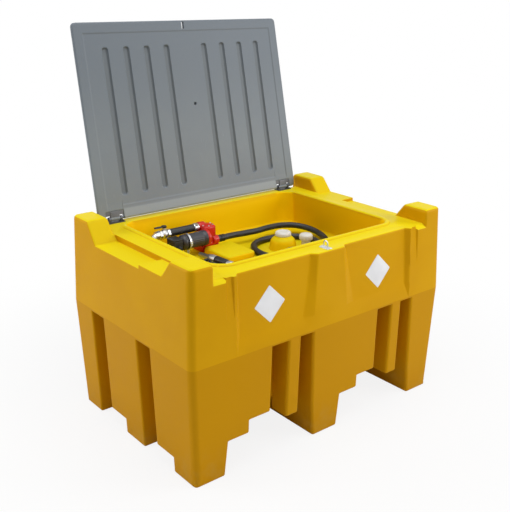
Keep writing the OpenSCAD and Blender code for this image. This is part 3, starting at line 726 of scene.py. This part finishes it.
# Carries a flat shape onto the slope of the panels, turned on its corner, with its middle at (x, z)
def panelPlace(p, x, z):
    foot, head = np.array(p["foot"]), np.array(p["head"])
    rise = (head - foot) / np.linalg.norm(head - foot)
    out = np.cross(toRight, rise)
    middle = foot + rise * (z - foot[2]) / rise[2] + np.array([x, 0, 0]) + out * p["gap"]

    def place(grid):
        across = (grid[..., 0:1] - grid[..., 1:2]) / math.sqrt(2)
        up = (grid[..., 0:1] + grid[..., 1:2]) / math.sqrt(2)
        return middle + across * np.array(toRight) + up * rise + grid[..., 2:3] * out
    return place


def patchParts(p):
    half = p["half"]
    return [blockPart((-half, -half, 0), (half, half, p["thick"]), 0.004, 0.0002, place=panelPlace(p, x, z))
            for x, z in p["places"]]


makePiece("frontPatches", "white_plastic", "tank", *patchParts(patch), finish="vinyl")
print("tank moulded")


# Lid, in millimetres: x across, s from the hinge axis to the front edge, n through the thickness
lid = {"half": 495, "back": -6, "front": 754, "under": -7, "over": 13, "edge": 7, "corner": 18,
       "field": (455, 45, 714), "fieldDepth": 5, "slots": [92, 184, 276, 368], "slotHalf": 14,
       "slotEnds": (82, 658), "slotDepth": 8, "slope": 5, "hinges": 425, "recessHalf": 39, "recess": 26,
       "open": 102, "axis": (370, 720), "dimple": (13, 409, 6.5), "dimpleDepth": 11,
       "haspSlot": (6, 15, 733), "borderDepth": 3.4, "strip": (2, 40), "outside": (470, 24, 730),
       "outsideRise": 2.5}


# Closed-lid place (x, s, n) turned open about the hinge axis
def lidPlace(grid):
    turn = math.radians(lid["open"])
    x, s, n = grid[..., 0], grid[..., 1], grid[..., 2]
    y = lid["axis"][0] - s * math.cos(turn) + n * math.sin(turn)
    z = lid["axis"][1] + s * math.sin(turn) + n * math.cos(turn)
    return np.stack([x, y, z], axis=-1) / 1000


# Lines of a grid: even steps, with more of them around each edge of a shape
def closeLines(low, high, step, edges, reach, fine):
    near = [np.arange(e - reach, e + reach + fine / 2, fine) for e in edges]
    ends = np.array([0, 0.3, 0.9, 1.9, 3.2, 4.9, 7.0])
    every = np.concatenate([np.arange(low + 9, high - 8, step), *near, low + ends, high - ends])
    every = np.unique(np.round(every[(every >= low) & (every <= high)], 2))
    return every[np.concatenate([[True], np.diff(every) > 0.25])]


# The same lines with some exact ones in place of their close neighbours
def withLines(lines, exact):
    exact = np.array(exact, float)
    return np.unique(np.concatenate([lines[np.min(np.abs(lines[:, None] - exact), axis=1) > 0.8], exact]))


# How far a place on the lid lies inside its nearest slot, inside the dimple, and inside a field given as
# (half its width, low, high), in millimetres
def insideSlot(p, x, s):
    low, high = p["slotEnds"]
    beyond = np.clip(np.abs(s - (low + high) / 2) - ((high - low) / 2 - p["slotHalf"]), 0, None)
    return np.max([p["slotHalf"] - np.hypot(x - sign * c, beyond) for c in p["slots"] for sign in (-1, 1)],
                  axis=0)


def insideDimple(p, x, s):
    middleX, middleS, radius = p["dimple"]
    return radius - np.hypot(x - middleX, s - middleS)


def insideField(x, s, wide, low, high):
    return np.minimum(np.minimum(wide - np.abs(x), s - low), high - s)


# Lines of the lid's grid, closer together round its shapes, and the numbers of the lines that bound the
# hasp slot: first and last s, first and last x
def lidLines(p):
    wide, low, high = p["field"]
    sides = [sign * c + k * p["slotHalf"] for c in p["slots"] for sign in (-1, 1) for k in (-1, 1)]
    walls = [sign * p["hinges"] + k * p["recessHalf"] + o for sign in (-1, 1) for k in (-1, 1)
             for o in (-0.15, 0.15)]
    halfX, halfS, middleS = p["haspSlot"]
    holeX, holeS = [-halfX, halfX], [middleS - halfS, middleS + halfS]
    xs = closeLines(-p["half"], p["half"], 14, [*sides, 4 - wide, wide - 4, p["dimple"][0]], 8, 2.0)
    ss = closeLines(p["back"], p["front"], 16, [low + 4, p["slotEnds"][0] + 6, p["dimple"][1],
                                                p["slotEnds"][1] - 6, high - 4], 11, 2.2)
    xs, ss = withLines(xs, [*walls, *holeX]), withLines(ss, holeS)
    bounds = [(ss, v) for v in holeS] + [(xs, v) for v in holeX]
    return xs, ss, [int(np.argmin(np.abs(lines - v))) for lines, v in bounds]


# Two sheets joined round their edge, under(x, s) and over(x, s), pinched together where the distance to the
# edge is 0. The cells of the hasp slot are left out of both, and a wall joins the two rims
def lidPart(p):
    xs, ss, (a, b, c, d) = lidLines(p)
    x, s = np.meshgrid(xs, ss)
    inRecess = np.abs(np.abs(x) - p["hinges"]) < p["recessHalf"]
    start = np.where(inRecess, p["recess"], p["back"])
    s = start + (s - p["back"]) * (p["front"] - start) / (p["front"] - p["back"])
    edge = insideField(x, s, p["half"], start, p["front"])
    thin = 1 - np.sqrt(np.clip(1 - (np.clip(p["edge"] - edge, 0, None) / p["edge"]) ** 2, 0, 1))
    field = smooth(insideField(x, s, *p["field"]) / 6)
    first, last = p["strip"]
    between = np.abs(x) < p["hinges"] - p["recessHalf"]
    border = np.where(between, np.clip((s - first) / (last - first), 0, 1), 1) * p["borderDepth"]
    under = (p["under"] + border * (1 - field) + p["fieldDepth"] * field
             + p["slotDepth"] * smooth(insideSlot(p, x, s) / p["slope"])
             + p["dimpleDepth"] * smooth(insideDimple(p, x, s) / 2.4))
    over = p["over"] - p["outsideRise"] * (1 - smooth(insideField(x, s, *p["outside"]) / 14))
    middle = (p["under"] + p["over"]) / 2
    under, over = (sheet + (middle - sheet) * thin for sheet in (under, over))
    # Square corners drawn in to round ones
    dx = np.abs(x) - (p["half"] - p["corner"])
    centre = (p["front"] + p["back"]) / 2
    ds = np.abs(s - centre) - (p["front"] - centre - p["corner"])
    both = (dx > 0) & (ds > 0) & ~inRecess
    ratio = np.where(both, np.maximum(dx, ds) / np.maximum(np.hypot(dx, ds), 1e-9), 1)
    x = np.where(both, np.sign(x) * (p["half"] - p["corner"] + dx * ratio), x)
    s = np.where(both, centre + np.sign(s - centre) * (p["front"] - centre - p["corner"] + ds * ratio), s)
    lower, upper = (lidPlace(np.stack([x, s, sheet], axis=-1)) for sheet in (under, over))
    points, quads = gridPart(np.concatenate([lower, upper[:, ::-1]], axis=1))
    columns = 2 * len(xs)
    row, column = quads[:, 0] // columns, quads[:, 0] % columns
    column = np.minimum(column, columns - 2 - column)
    hole = (row >= a) & (row < b) & (column >= c) & (column < d)
    rims = [np.concatenate([sheet[a, c:d], sheet[a:b, d], sheet[b, d:c:-1], sheet[b:a:-1, c]])
            for sheet in (lower, upper)]
    return (points, quads[~hole]), gridPart(np.stack(rims))


# How deep the points of the lid's inner side lie in slots, dimple and border, which the finish paints as
# shade
def addHollowShade(piece, p):
    spots = np.array([v.co[:] for v in piece.data.vertices]) * 1000
    turn = math.radians(p["open"])
    x, back, rise = spots[:, 0], spots[:, 1] - p["axis"][0], spots[:, 2] - p["axis"][1]
    along = rise * math.sin(turn) - back * math.cos(turn)
    through = rise * math.cos(turn) + back * math.sin(turn)
    wide, low, high = p["field"]
    # The field's top and right edges get painted shade, as if its step cast a shadow there
    front = smooth(1 - np.abs(high - 3 - along) / 5) * (np.abs(x) < wide)
    right = smooth(1 - np.abs(wide - 3 - x) / 5) * (along > low) * (along < high)
    depth = np.max([smooth(insideSlot(p, x, along) / 4), 1.4 * smooth(insideDimple(p, x, along) / 2),
                    0.9 * front, 0.9 * right], axis=0)
    addValues(piece, "hollow", "POINT", np.where(through < 9, depth, 0))


def knuckleParts(p):
    profile = [(r / 1000, a / 1000) for r, a in rod(8, 0, 40, 1.2)]
    feet = [lidPlace(np.array([c - 20.0, 0, 0])) for c in (-p["hinges"], p["hinges"])]
    return [turnedPart(profile, foot, toRight, 32) for foot in feet]


def leafParts(p):
    return [part for c in (-p["hinges"], p["hinges"])
            for part in (blockPart((c - 20, 2, -5.5), (c + 20, 29, 4), 2, 1.2, place=lidPlace),
                         blockPart((c - 38.6, 13, -3), (c + 38.6, 28, 4), 1, 0.8, place=lidPlace))]


addHollowShade(makePiece("lidShell", "grey_plastic", "lid", *lidPart(lid), node="lid", sharp=50), lid)
makePiece("lidKnuckles", "grey_plastic", "lid", *knuckleParts(lid))
makePiece("lidLeaves", "grey_plastic", "lid", *leafParts(lid), finish="lidDarkGrey")
print("lid made")


# Padlock loop and its plate, in metres as all that follows
hasp = {"y": -0.362, "rim": 0.706, "plate": 0.002, "loop": 0.0095, "rod": 0.0025, "straight": 0.014,
        "low": (-0.013, -0.385, 0.7058), "high": (0.013, -0.339, 0.708), "screws": (-0.3805, -0.3435)}


# Half a circle on two straight ends
def haspLoop(p):
    t = np.linspace(0, np.pi, 17)
    top = p["rim"] + p["plate"] + p["straight"]
    arc = np.stack([0 * t, p["y"] + p["loop"] * np.cos(t), top + p["loop"] * np.sin(t)], axis=-1)
    ends = arc[[0, -1]] - [0, 0, p["straight"]]
    return tubePart(np.concatenate([ends[:1], arc, ends[1:]]), p["rod"], 16, up=toRight)


makePiece("padlockLoop", "bright_steel", "tank", haspLoop(hasp), node="hasp_loop", sharp=60)
makePiece("haspPlate", "bright_steel", "tank", blockPart(hasp["low"], hasp["high"], 0.004, 0.0006),
          *screwParts([(0, y, hasp["high"][2]) for y in hasp["screws"]], toTop, 0.005), node="hasp_plate")


# Pump: its box, the (y, z) of its port, motor and outlet, and its screws on a ring
pump = {"x": (-0.119, -0.049), "y": (0.209, 0.279), "foot": 0.584, "top": 0.668, "port": (0.258, 0.656),
        "motor": (0.208, 0.624), "outlet": (0.220, 0.602), "screws": 6, "screwRing": 0.0235,
        "screwFoot": 0.6635}


def pumpParts(p):
    (x0, x1), (y0, y1) = p["x"], p["y"]
    middle = ((x0 + x1) / 2, (y0 + y1) / 2, 0)
    cap = [(0, 0.662), (0.017, 0.662), (0.0165, 0.665), (0.012, 0.6672), (0, p["top"])]
    return [blockPart((x0, y0, p["foot"]), (x1, y1, p["foot"] + 0.014), 0.008, 0.002),
            blockPart((x0 + 0.004, y0 + 0.003, p["foot"] + 0.010), (x1 - 0.003, y1 - 0.003, 0.661),
                      0.022, 0.006),
            turnedPart(rod(0.029, 0.652, 0.664), middle, toTop),
            turnedPart(cap, middle, toTop, 40),
            turnedPart(rod(0.019, x0, x0 + 0.03), (0, *p["port"]), toRight, 36),
            turnedPart(rod(0.0325, x0, x0 + 0.012), (0, *p["motor"]), toRight),
            turnedPart(rod(0.018, -0.075, x1 - 0.0003), (0, *p["outlet"]), toRight, 36)]


def pumpScrews(p):
    x, y, r = sum(p["x"]) / 2, sum(p["y"]) / 2, p["screwRing"]
    around = [k * 2 * math.pi / p["screws"] + 0.3 for k in range(p["screws"])]
    feet = [(x + r * math.cos(a), y + r * math.sin(a), p["screwFoot"]) for a in around]
    return screwParts(feet, toTop, 0.0052)


makePiece("pumpHousing", "red_metal", "tank", *pumpParts(pump), node="pump_body")
makePiece("pumpScrews", "bright_steel", "tank", *pumpScrews(pump))
makePiece("pumpFoot", "red_metal", "tank",
          blockPart((-0.126, 0.216, 0.560), (-0.042, 0.282, 0.5835), 0.006, 0.002), node="pump_foot")

# Motor: finned barrel, end bell, strap on a foot, and its terminal box
motor = {"axis": (0.208, 0.624), "from": -0.237, "to": -0.1193, "radius": 0.0285, "fins": 26, "fin": 0.0008}


def motorParts(m):
    x0, x1, r = m["from"], m["to"], m["radius"]
    barrel = [(0, x0 + 0.018), (r, x0 + 0.018), (r, x0 + 0.0185), (r, x1 - 0.016), (r, x1 - 0.0155),
              (0, x1 - 0.0155)]
    bell = [(0, x0), (0.012, x0), (0.020, x0 + 0.001), (0.027, x0 + 0.006), (0.0305, x0 + 0.013),
            (0.0305, x0 + 0.021), (0.0295, x0 + 0.022), (0, x0 + 0.022)]
    flange = [(0, x1 - 0.018), (0.0285, x1 - 0.018), (0.0308, x1 - 0.015), (0.0308, x1), (0, x1)]
    ribs = (m["fins"], m["fin"], 1, 4)
    return [turnedPart(barrel, (0, *m["axis"]), toRight, m["fins"] * 6, ribs),
            *[turnedPart(profile, (0, *m["axis"]), toRight) for profile in (bell, flange)]]


makePiece("motorBarrel", "motor_grey", "tank", *motorParts(motor), node="pump_motor", sharp=50)
makePiece("motorStrap", "bright_steel", "tank",
          turnedPart(band(0.0313, 0.0335, -0.208, -0.200), (0, *motor["axis"]), toRight, 64),
          blockPart((-0.211, 0.197, 0.560), (-0.197, 0.219, 0.5935), 0.002, 0.0008),
          blockPart((-0.210, 0.172, 0.616), (-0.198, 0.178, 0.632), 0.001, 0.0006),
          *screwParts([(-0.204, 0.172, 0.624)], toFront, 0.006), node="motor_strap")
makePiece("terminalBox", "black_plastic", "tank",
          blockPart((-0.281, 0.182, 0.598), (-0.2373, 0.234, 0.641), 0.005, 0.002),
          blockPart((-0.2815, 0.1815, 0.6415), (-0.2368, 0.2345, 0.648), 0.005, 0.0015),
          turnedPart(rod(0.008, 0, 0.014, 0.001), (-0.259, 0.1825, 0.615), toFront, 12),
          turnedPart(rod(0.006, 0.013, 0.020, 0.001), (-0.259, 0.1825, 0.615), toFront, 24),
          node="terminal_box")
print("pump made")

# Suction line: riser with its elbow, valve, lever, pipe and clamp, all on one axis
line = {"y": 0.258, "z": 0.656, "riser": -0.325, "bend": 0.022, "valve": (-0.300, -0.252), "stem": -0.276,
        "pipe": (-0.252, -0.141), "pipeRadius": 0.0150, "rib": 0.0009, "ribStep": 0.0045}


# A profile turned about the axis of the suction line
def onLine(profile, sides, x=0):
    return turnedPart(profile, (x, line["y"], line["z"]), toRight, sides)


# A profile turned about an upright axis at x
def onTop(profile, sides, x):
    return turnedPart(profile, (x, line["y"], 0), toTop, sides)


def riserParts(p):
    t = np.linspace(0, np.pi / 2, 12)
    x, y, z, bend = p["riser"], p["y"], p["z"], p["bend"]
    elbow = np.stack([x + bend - bend * np.cos(t), 0 * t + y, z - bend + bend * np.sin(t)], axis=-1)
    path = np.concatenate([[(x, y, 0.560)], elbow, [(p["valve"][0], y, z)]])
    nut = [(0, -0.316), (0.0168, -0.316), (0.0168, -0.3005), (0, -0.3005)]
    collar = rod(0.0169, 0.560, 0.580)
    return [tubePart(path, 0.0135, 28, up=(0, 1, 0)), onTop(collar, 36, x), onLine(nut, 8)]


def valveParts(p):
    a, b = p["valve"]
    nut = [(0, 0), (0.0175, 0), (0.0188, 0.0015), (0.0188, 0.0105), (0.0175, 0.012), (0, 0.012)]
    ball = [(r, a + x) for r, x in ((0, 0.01), (0.0125, 0.01), (0.0145, 0.013), (0.0182, 0.018),
                                    (0.0188, 0.024), (0.0182, 0.030), (0.0145, 0.035), (0.0125, 0.038),
                                    (0, 0.038))]
    return [onLine(ball, 40), onLine(nut, 6, a), onLine(nut, 6, b - 0.012),
            onTop(rod(0.0068, 0.670, 0.682, 0.0008), 24, p["stem"]),
            onTop(rod(0.0095, 0.668, 0.6745, 0.0008), 8, p["stem"])]


# Lever: a hub and a flat handle that swells towards its end
def leverParts(p):
    path = smoothPath([(p["stem"] + along, p["y"], z) for along, z in
                       ((0.006, 0.6865), (-0.010, 0.6865), (-0.026, 0.6866), (-0.041, 0.6866))], 5)
    wide = np.interp(np.arange(len(path)), [0, 5, 9, len(path) - 1], [0.0062, 0.0058, 0.0078, 0.0070])
    return [onTop(rod(0.0108, 0.6826, 0.6904, 0.0015), 32, p["stem"]), tubePart(path, wide, flat=0.45)]


# Ribbed pipe: radius = pipeRadius + rib * (1 + cos(turns along the pipe)) / 2
def pipePart(p):
    along = np.linspace(*p["pipe"], 112)
    turns = (along - along[0]) / p["ribStep"]
    radius = p["pipeRadius"] + p["rib"] * (0.5 + 0.5 * np.cos(turns * 2 * np.pi))
    path = np.stack([along, 0 * along + p["y"], 0 * along + p["z"]], axis=-1)
    return tubePart(path, radius, 28)


makePiece("suctionRiser", "bright_steel", "tank", *riserParts(line), node="suction_riser", sharp=50)
makePiece("suctionValve", "bright_steel", "tank", *valveParts(line), node="suction_valve")
makePiece("valveLever", "black_plastic", "valve_handle", *leverParts(line), node="valve_handle")
makePiece("suctionPipe", "black_rubber", "tank", pipePart(line), node="suction_pipe", sharp=70)
makePiece("pipeClamp", "bright_steel", "tank",
          onLine(rod(0.0170, -0.1408, -0.1192, 0.001), 48),
          onLine(band(0.0165, 0.0180, -0.137, -0.125), 48),
          blockPart((-0.136, 0.2385, 0.6695), (-0.126, 0.2520, 0.6745), 0.001, 0.0006),
          turnedPart(rod(0.003, 0, 0.005, 0.0005), (-0.131, 0.2385, 0.6720), toFront, 8), node="pipe_clamp")

# Tail of the delivery hose: a barb nut and a crimped sleeve, as (radius, x)
tailRow = [(0, -0.0487), (0.0148, -0.0487), (0.0148, -0.0380), (0.0125, -0.0375), (0.0125, -0.0350),
           (0.0148, -0.0345), (0.0148, -0.0320), (0.0138, -0.0315), (0.0138, -0.0295), (0.0148, -0.0290),
           (0.0148, -0.0255), (0.0138, -0.0250), (0.0138, -0.0225), (0.0148, -0.0220), (0.0148, -0.0165),
           (0.0138, -0.0152), (0, -0.0152)]
makePiece("hoseTail", "black_plastic", "tank", turnedPart(tailRow, (0, *pump["outlet"]), toRight, 40),
          node="hose_tail")
print("suction line made")

# Nozzle, which lies on the basin floor: profiles are (radius, distance from the hose's end), and the paths
# of guard and lever are (along it, across it)
nozzle = {
    "rear": (-0.152, -0.020, 0.5773), "turn": 97,
    "body": [(0, 0), (0.0140, 0), (0.0150, 0.002), (0.0150, 0.016), (0.0135, 0.018), (0.0135, 0.024),
             (0.0125, 0.030), (0.0128, 0.070), (0.0150, 0.082), (0.0168, 0.092), (0.0168, 0.116),
             (0.0155, 0.122), (0.0142, 0.124), (0.0142, 0.132), (0.0130, 0.1345), (0, 0.1347)],
    "spout": [(0, 0.1352), (0.0108, 0.1352), (0.0108, 0.140), (0.0095, 0.142), (0.0092, 0.180),
              (0.0085, 0.1848), (0.0070, 0.1848), (0.0068, 0.160), (0, 0.160)],
    "sleeve": [(0, 0.026), (0.0140, 0.026), (0.0155, 0.030), (0.0158, 0.060), (0.0170, 0.078),
               (0.0171, 0.088), (0.0160, 0.090), (0, 0.090)],
    "guard": [(0.024, 0.0175), (0.0265, 0.030), (0.033, 0.042), (0.046, 0.0455), (0.072, 0.0458),
              (0.098, 0.0452), (0.112, 0.040), (0.118, 0.030), (0.1185, 0.0175)],
    "lever": [(0.108, 0.0172), (0.100, 0.026), (0.080, 0.031), (0.056, 0.029), (0.040, 0.031)],
}


def nozzleTurned(n, name, sides):
    turn = math.radians(n["turn"])
    return turnedPart(n[name], n["rear"], (math.cos(turn), math.sin(turn), 0), sides)


def nozzleTube(n, name, radius, sides):
    turn = math.radians(n["turn"])
    a, b, c = smoothPath([(*point, 0) for point in n[name]], 5).T
    path = np.stack([n["rear"][0] + a * math.cos(turn) - b * math.sin(turn),
                     n["rear"][1] + a * math.sin(turn) + b * math.cos(turn), n["rear"][2] + c], axis=-1)
    return tubePart(path, radius, sides)


nozzlePiece = makePiece("nozzleBody", "nozzle_metal", "tank", nozzleTurned(nozzle, "body", 40),
                        node="nozzle_body")
makePiece("nozzleSpout", "nozzle_metal", "tank", nozzleTurned(nozzle, "spout", 32), node="nozzle_spout")
guardPiece = makePiece("nozzleGuard", "black_plastic", "tank", nozzleTube(nozzle, "guard", 0.0052, 16),
                       nozzleTube(nozzle, "lever", 0.0042, 14), nozzleTurned(nozzle, "sleeve", 40),
                       node="nozzle_guard")
print("nozzle made")

# Filler and vent, each turned about an upright axis: ribs are (count, depth, first row, last row)
fittings = {
    "fillerNeck": {"slot": "yellow_plastic", "node": "filler_neck", "foot": (0.165, 0.060, 0.5602),
                   "sides": 64, "sharp": 60, "row": [
        (0, 0.0), (0.0558, 0.0), (0.0556, 0.004), (0.0540, 0.014), (0.0525, 0.026), (0.0490, 0.037),
        (0.0425, 0.045), (0.0362, 0.0490), (0.0345, 0.0520), (0.0310, 0.0545), (0, 0.0548)]},
    "fillerCap": {"slot": "white_plastic", "node": "filler_cap", "foot": (0.165, 0.060, 0.6062),
                  "sides": 240, "sharp": 50, "ribs": (40, 0.0014, 2, 3), "row": [
        (0, 0.0090), (0.0308, 0.0090), (0.0314, 0.0100), (0.0314, 0.0195), (0.0310, 0.0205),
        (0.0296, 0.0245), (0.0280, 0.0255), (0.0240, 0.0258), (0.0225, 0.0240), (0, 0.0240)]},
    "ventBody": {"slot": "white_plastic", "node": "vent_body", "foot": (0.236, 0, 0.560), "sides": 40,
                 "sharp": 35, "row": [
        (0, 0), (0.0208, 0), (0.0208, 0.006), (0.0185, 0.008), (0.0185, 0.034), (0.0205, 0.036),
        (0.0205, 0.0398), (0, 0.0398)]},
    "ventCap": {"slot": "white_plastic", "node": "vent_cap", "foot": (0.236, 0, 0.6001), "sides": 180,
                "sharp": 50, "ribs": (30, 0.0012, 2, 3), "row": [
        (0, 0), (0.0255, 0), (0.0265, 0.001), (0.0265, 0.017), (0.0262, 0.018), (0.0240, 0.0215),
        (0.0180, 0.0235), (0, 0.0238)]},
}
for name, f in fittings.items():
    part = turnedPart(f["row"], f["foot"], toTop, f["sides"], f.get("ribs"))
    piece = makePiece(name, f["slot"], "tank", part, node=f["node"], sharp=f["sharp"])
    if f["slot"] == "yellow_plastic":
        addPaintedTopLight(piece)

# Hinge brackets and pins keep their own shape and take their finishes
for name in ("left_hinge_bracket", "left_hinge_pin", "right_hinge_bracket", "right_hinge_pin"):
    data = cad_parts[name].data
    data.materials.clear()
    data.materials.append(finishes["dark_steel"].material)
makePiece("hingeScrews", "dark_steel", "tank",
          *screwParts([(x, 0.3585, 0.709) for x in (-0.456, -0.394, 0.394, 0.456)], toTop, 0.0055))
print("fittings made")

# Stage: a floor that fades to white for the camera, a white backdrop, and three lamps (place, power, size)
stage = {"floor": 9.0, "pale": 0.86, "fade": (0.8, 1.9), "sky": 0.36, "aim": (0, 0, 0.4),
         "lamps": {"topLamp": ((-0.2, -0.6, 3.8), 66, 2.6), "rightLamp": ((2.7, -2.6, 1.9), 60, 2.0),
                   "leftLamp": ((-3.1, 2.0, 1.9), 52, 2.0)}}


def makeFloor(s):
    f = Finish("paleFloor", (0.86, 0.86, 0.86), 0.6)
    x, y, z = f.split()
    away = (x * x + y * y) ** 0.5
    glow = f.node("ShaderNodeEmission", {}, {"Color": (1, 1, 1, 1), "Strength": 1.0})
    eye = f.node("ShaderNodeLightPath", {}, {})
    share = eye * (s["pale"] + (1 - s["pale"]) * away.rise(*s["fade"]))
    mixed = f.node("ShaderNodeMixShader", {}, {0: share, 1: Wire(f, f.shader.outputs[0]), 2: glow})
    f.link(f.output.inputs[0], mixed)
    half = s["floor"]
    mesh = bpy.data.meshes.new("floor")
    corners = [(-half, -half, 0), (half, -half, 0), (half, half, 0), (-half, half, 0)]
    mesh.from_pydata(corners, [], [(0, 1, 2, 3)])
    mesh.materials.append(f.material)
    floor = bpy.data.objects.new("floor", mesh)
    bpy.context.collection.objects.link(floor)


# White to the camera and in reflections, and a dimmer sky for the light
def makeWorld(s):
    world = bpy.data.worlds.new("studio")
    world.use_nodes = True
    bpy.context.scene.world = world
    nodes, links = world.node_tree.nodes, world.node_tree.links
    nodes.clear()
    path, seen, lit, plain, blend, out = (nodes.new("ShaderNode" + kind) for kind in (
        "LightPath", "Math", "Background", "Background", "MixShader", "OutputWorld"))
    seen.operation = "MAXIMUM"
    plain.inputs["Color"].default_value = (1, 1, 1, 1)
    lit.inputs["Color"].default_value = (0.95, 0.97, 1, 1)
    lit.inputs["Strength"].default_value = s["sky"]
    for start, end in ((path.outputs["Is Camera Ray"], seen.inputs[0]),
                       (path.outputs["Is Glossy Ray"], seen.inputs[1]), (seen.outputs[0], blend.inputs[0]),
                       (lit.outputs[0], blend.inputs[1]), (plain.outputs[0], blend.inputs[2]),
                       (blend.outputs[0], out.inputs[0])):
        links.new(start, end)


def makeLamps(s):
    for name, (place, power, size) in s["lamps"].items():
        lamp = bpy.data.lights.new(name, "AREA")
        lamp.energy = power
        lamp.size = size
        made = bpy.data.objects.new(name, lamp)
        side, other, d = axes(np.array(s["aim"]) - np.array(place))
        turn = np.eye(4)
        turn[:3, 0], turn[:3, 1], turn[:3, 2], turn[:3, 3] = side, np.cross(-d, side), -d, place
        made.matrix_world = Matrix(turn.tolist())
        bpy.context.collection.objects.link(made)


makeFloor(stage)
makeWorld(stage)
makeLamps(stage)
print("stage set")
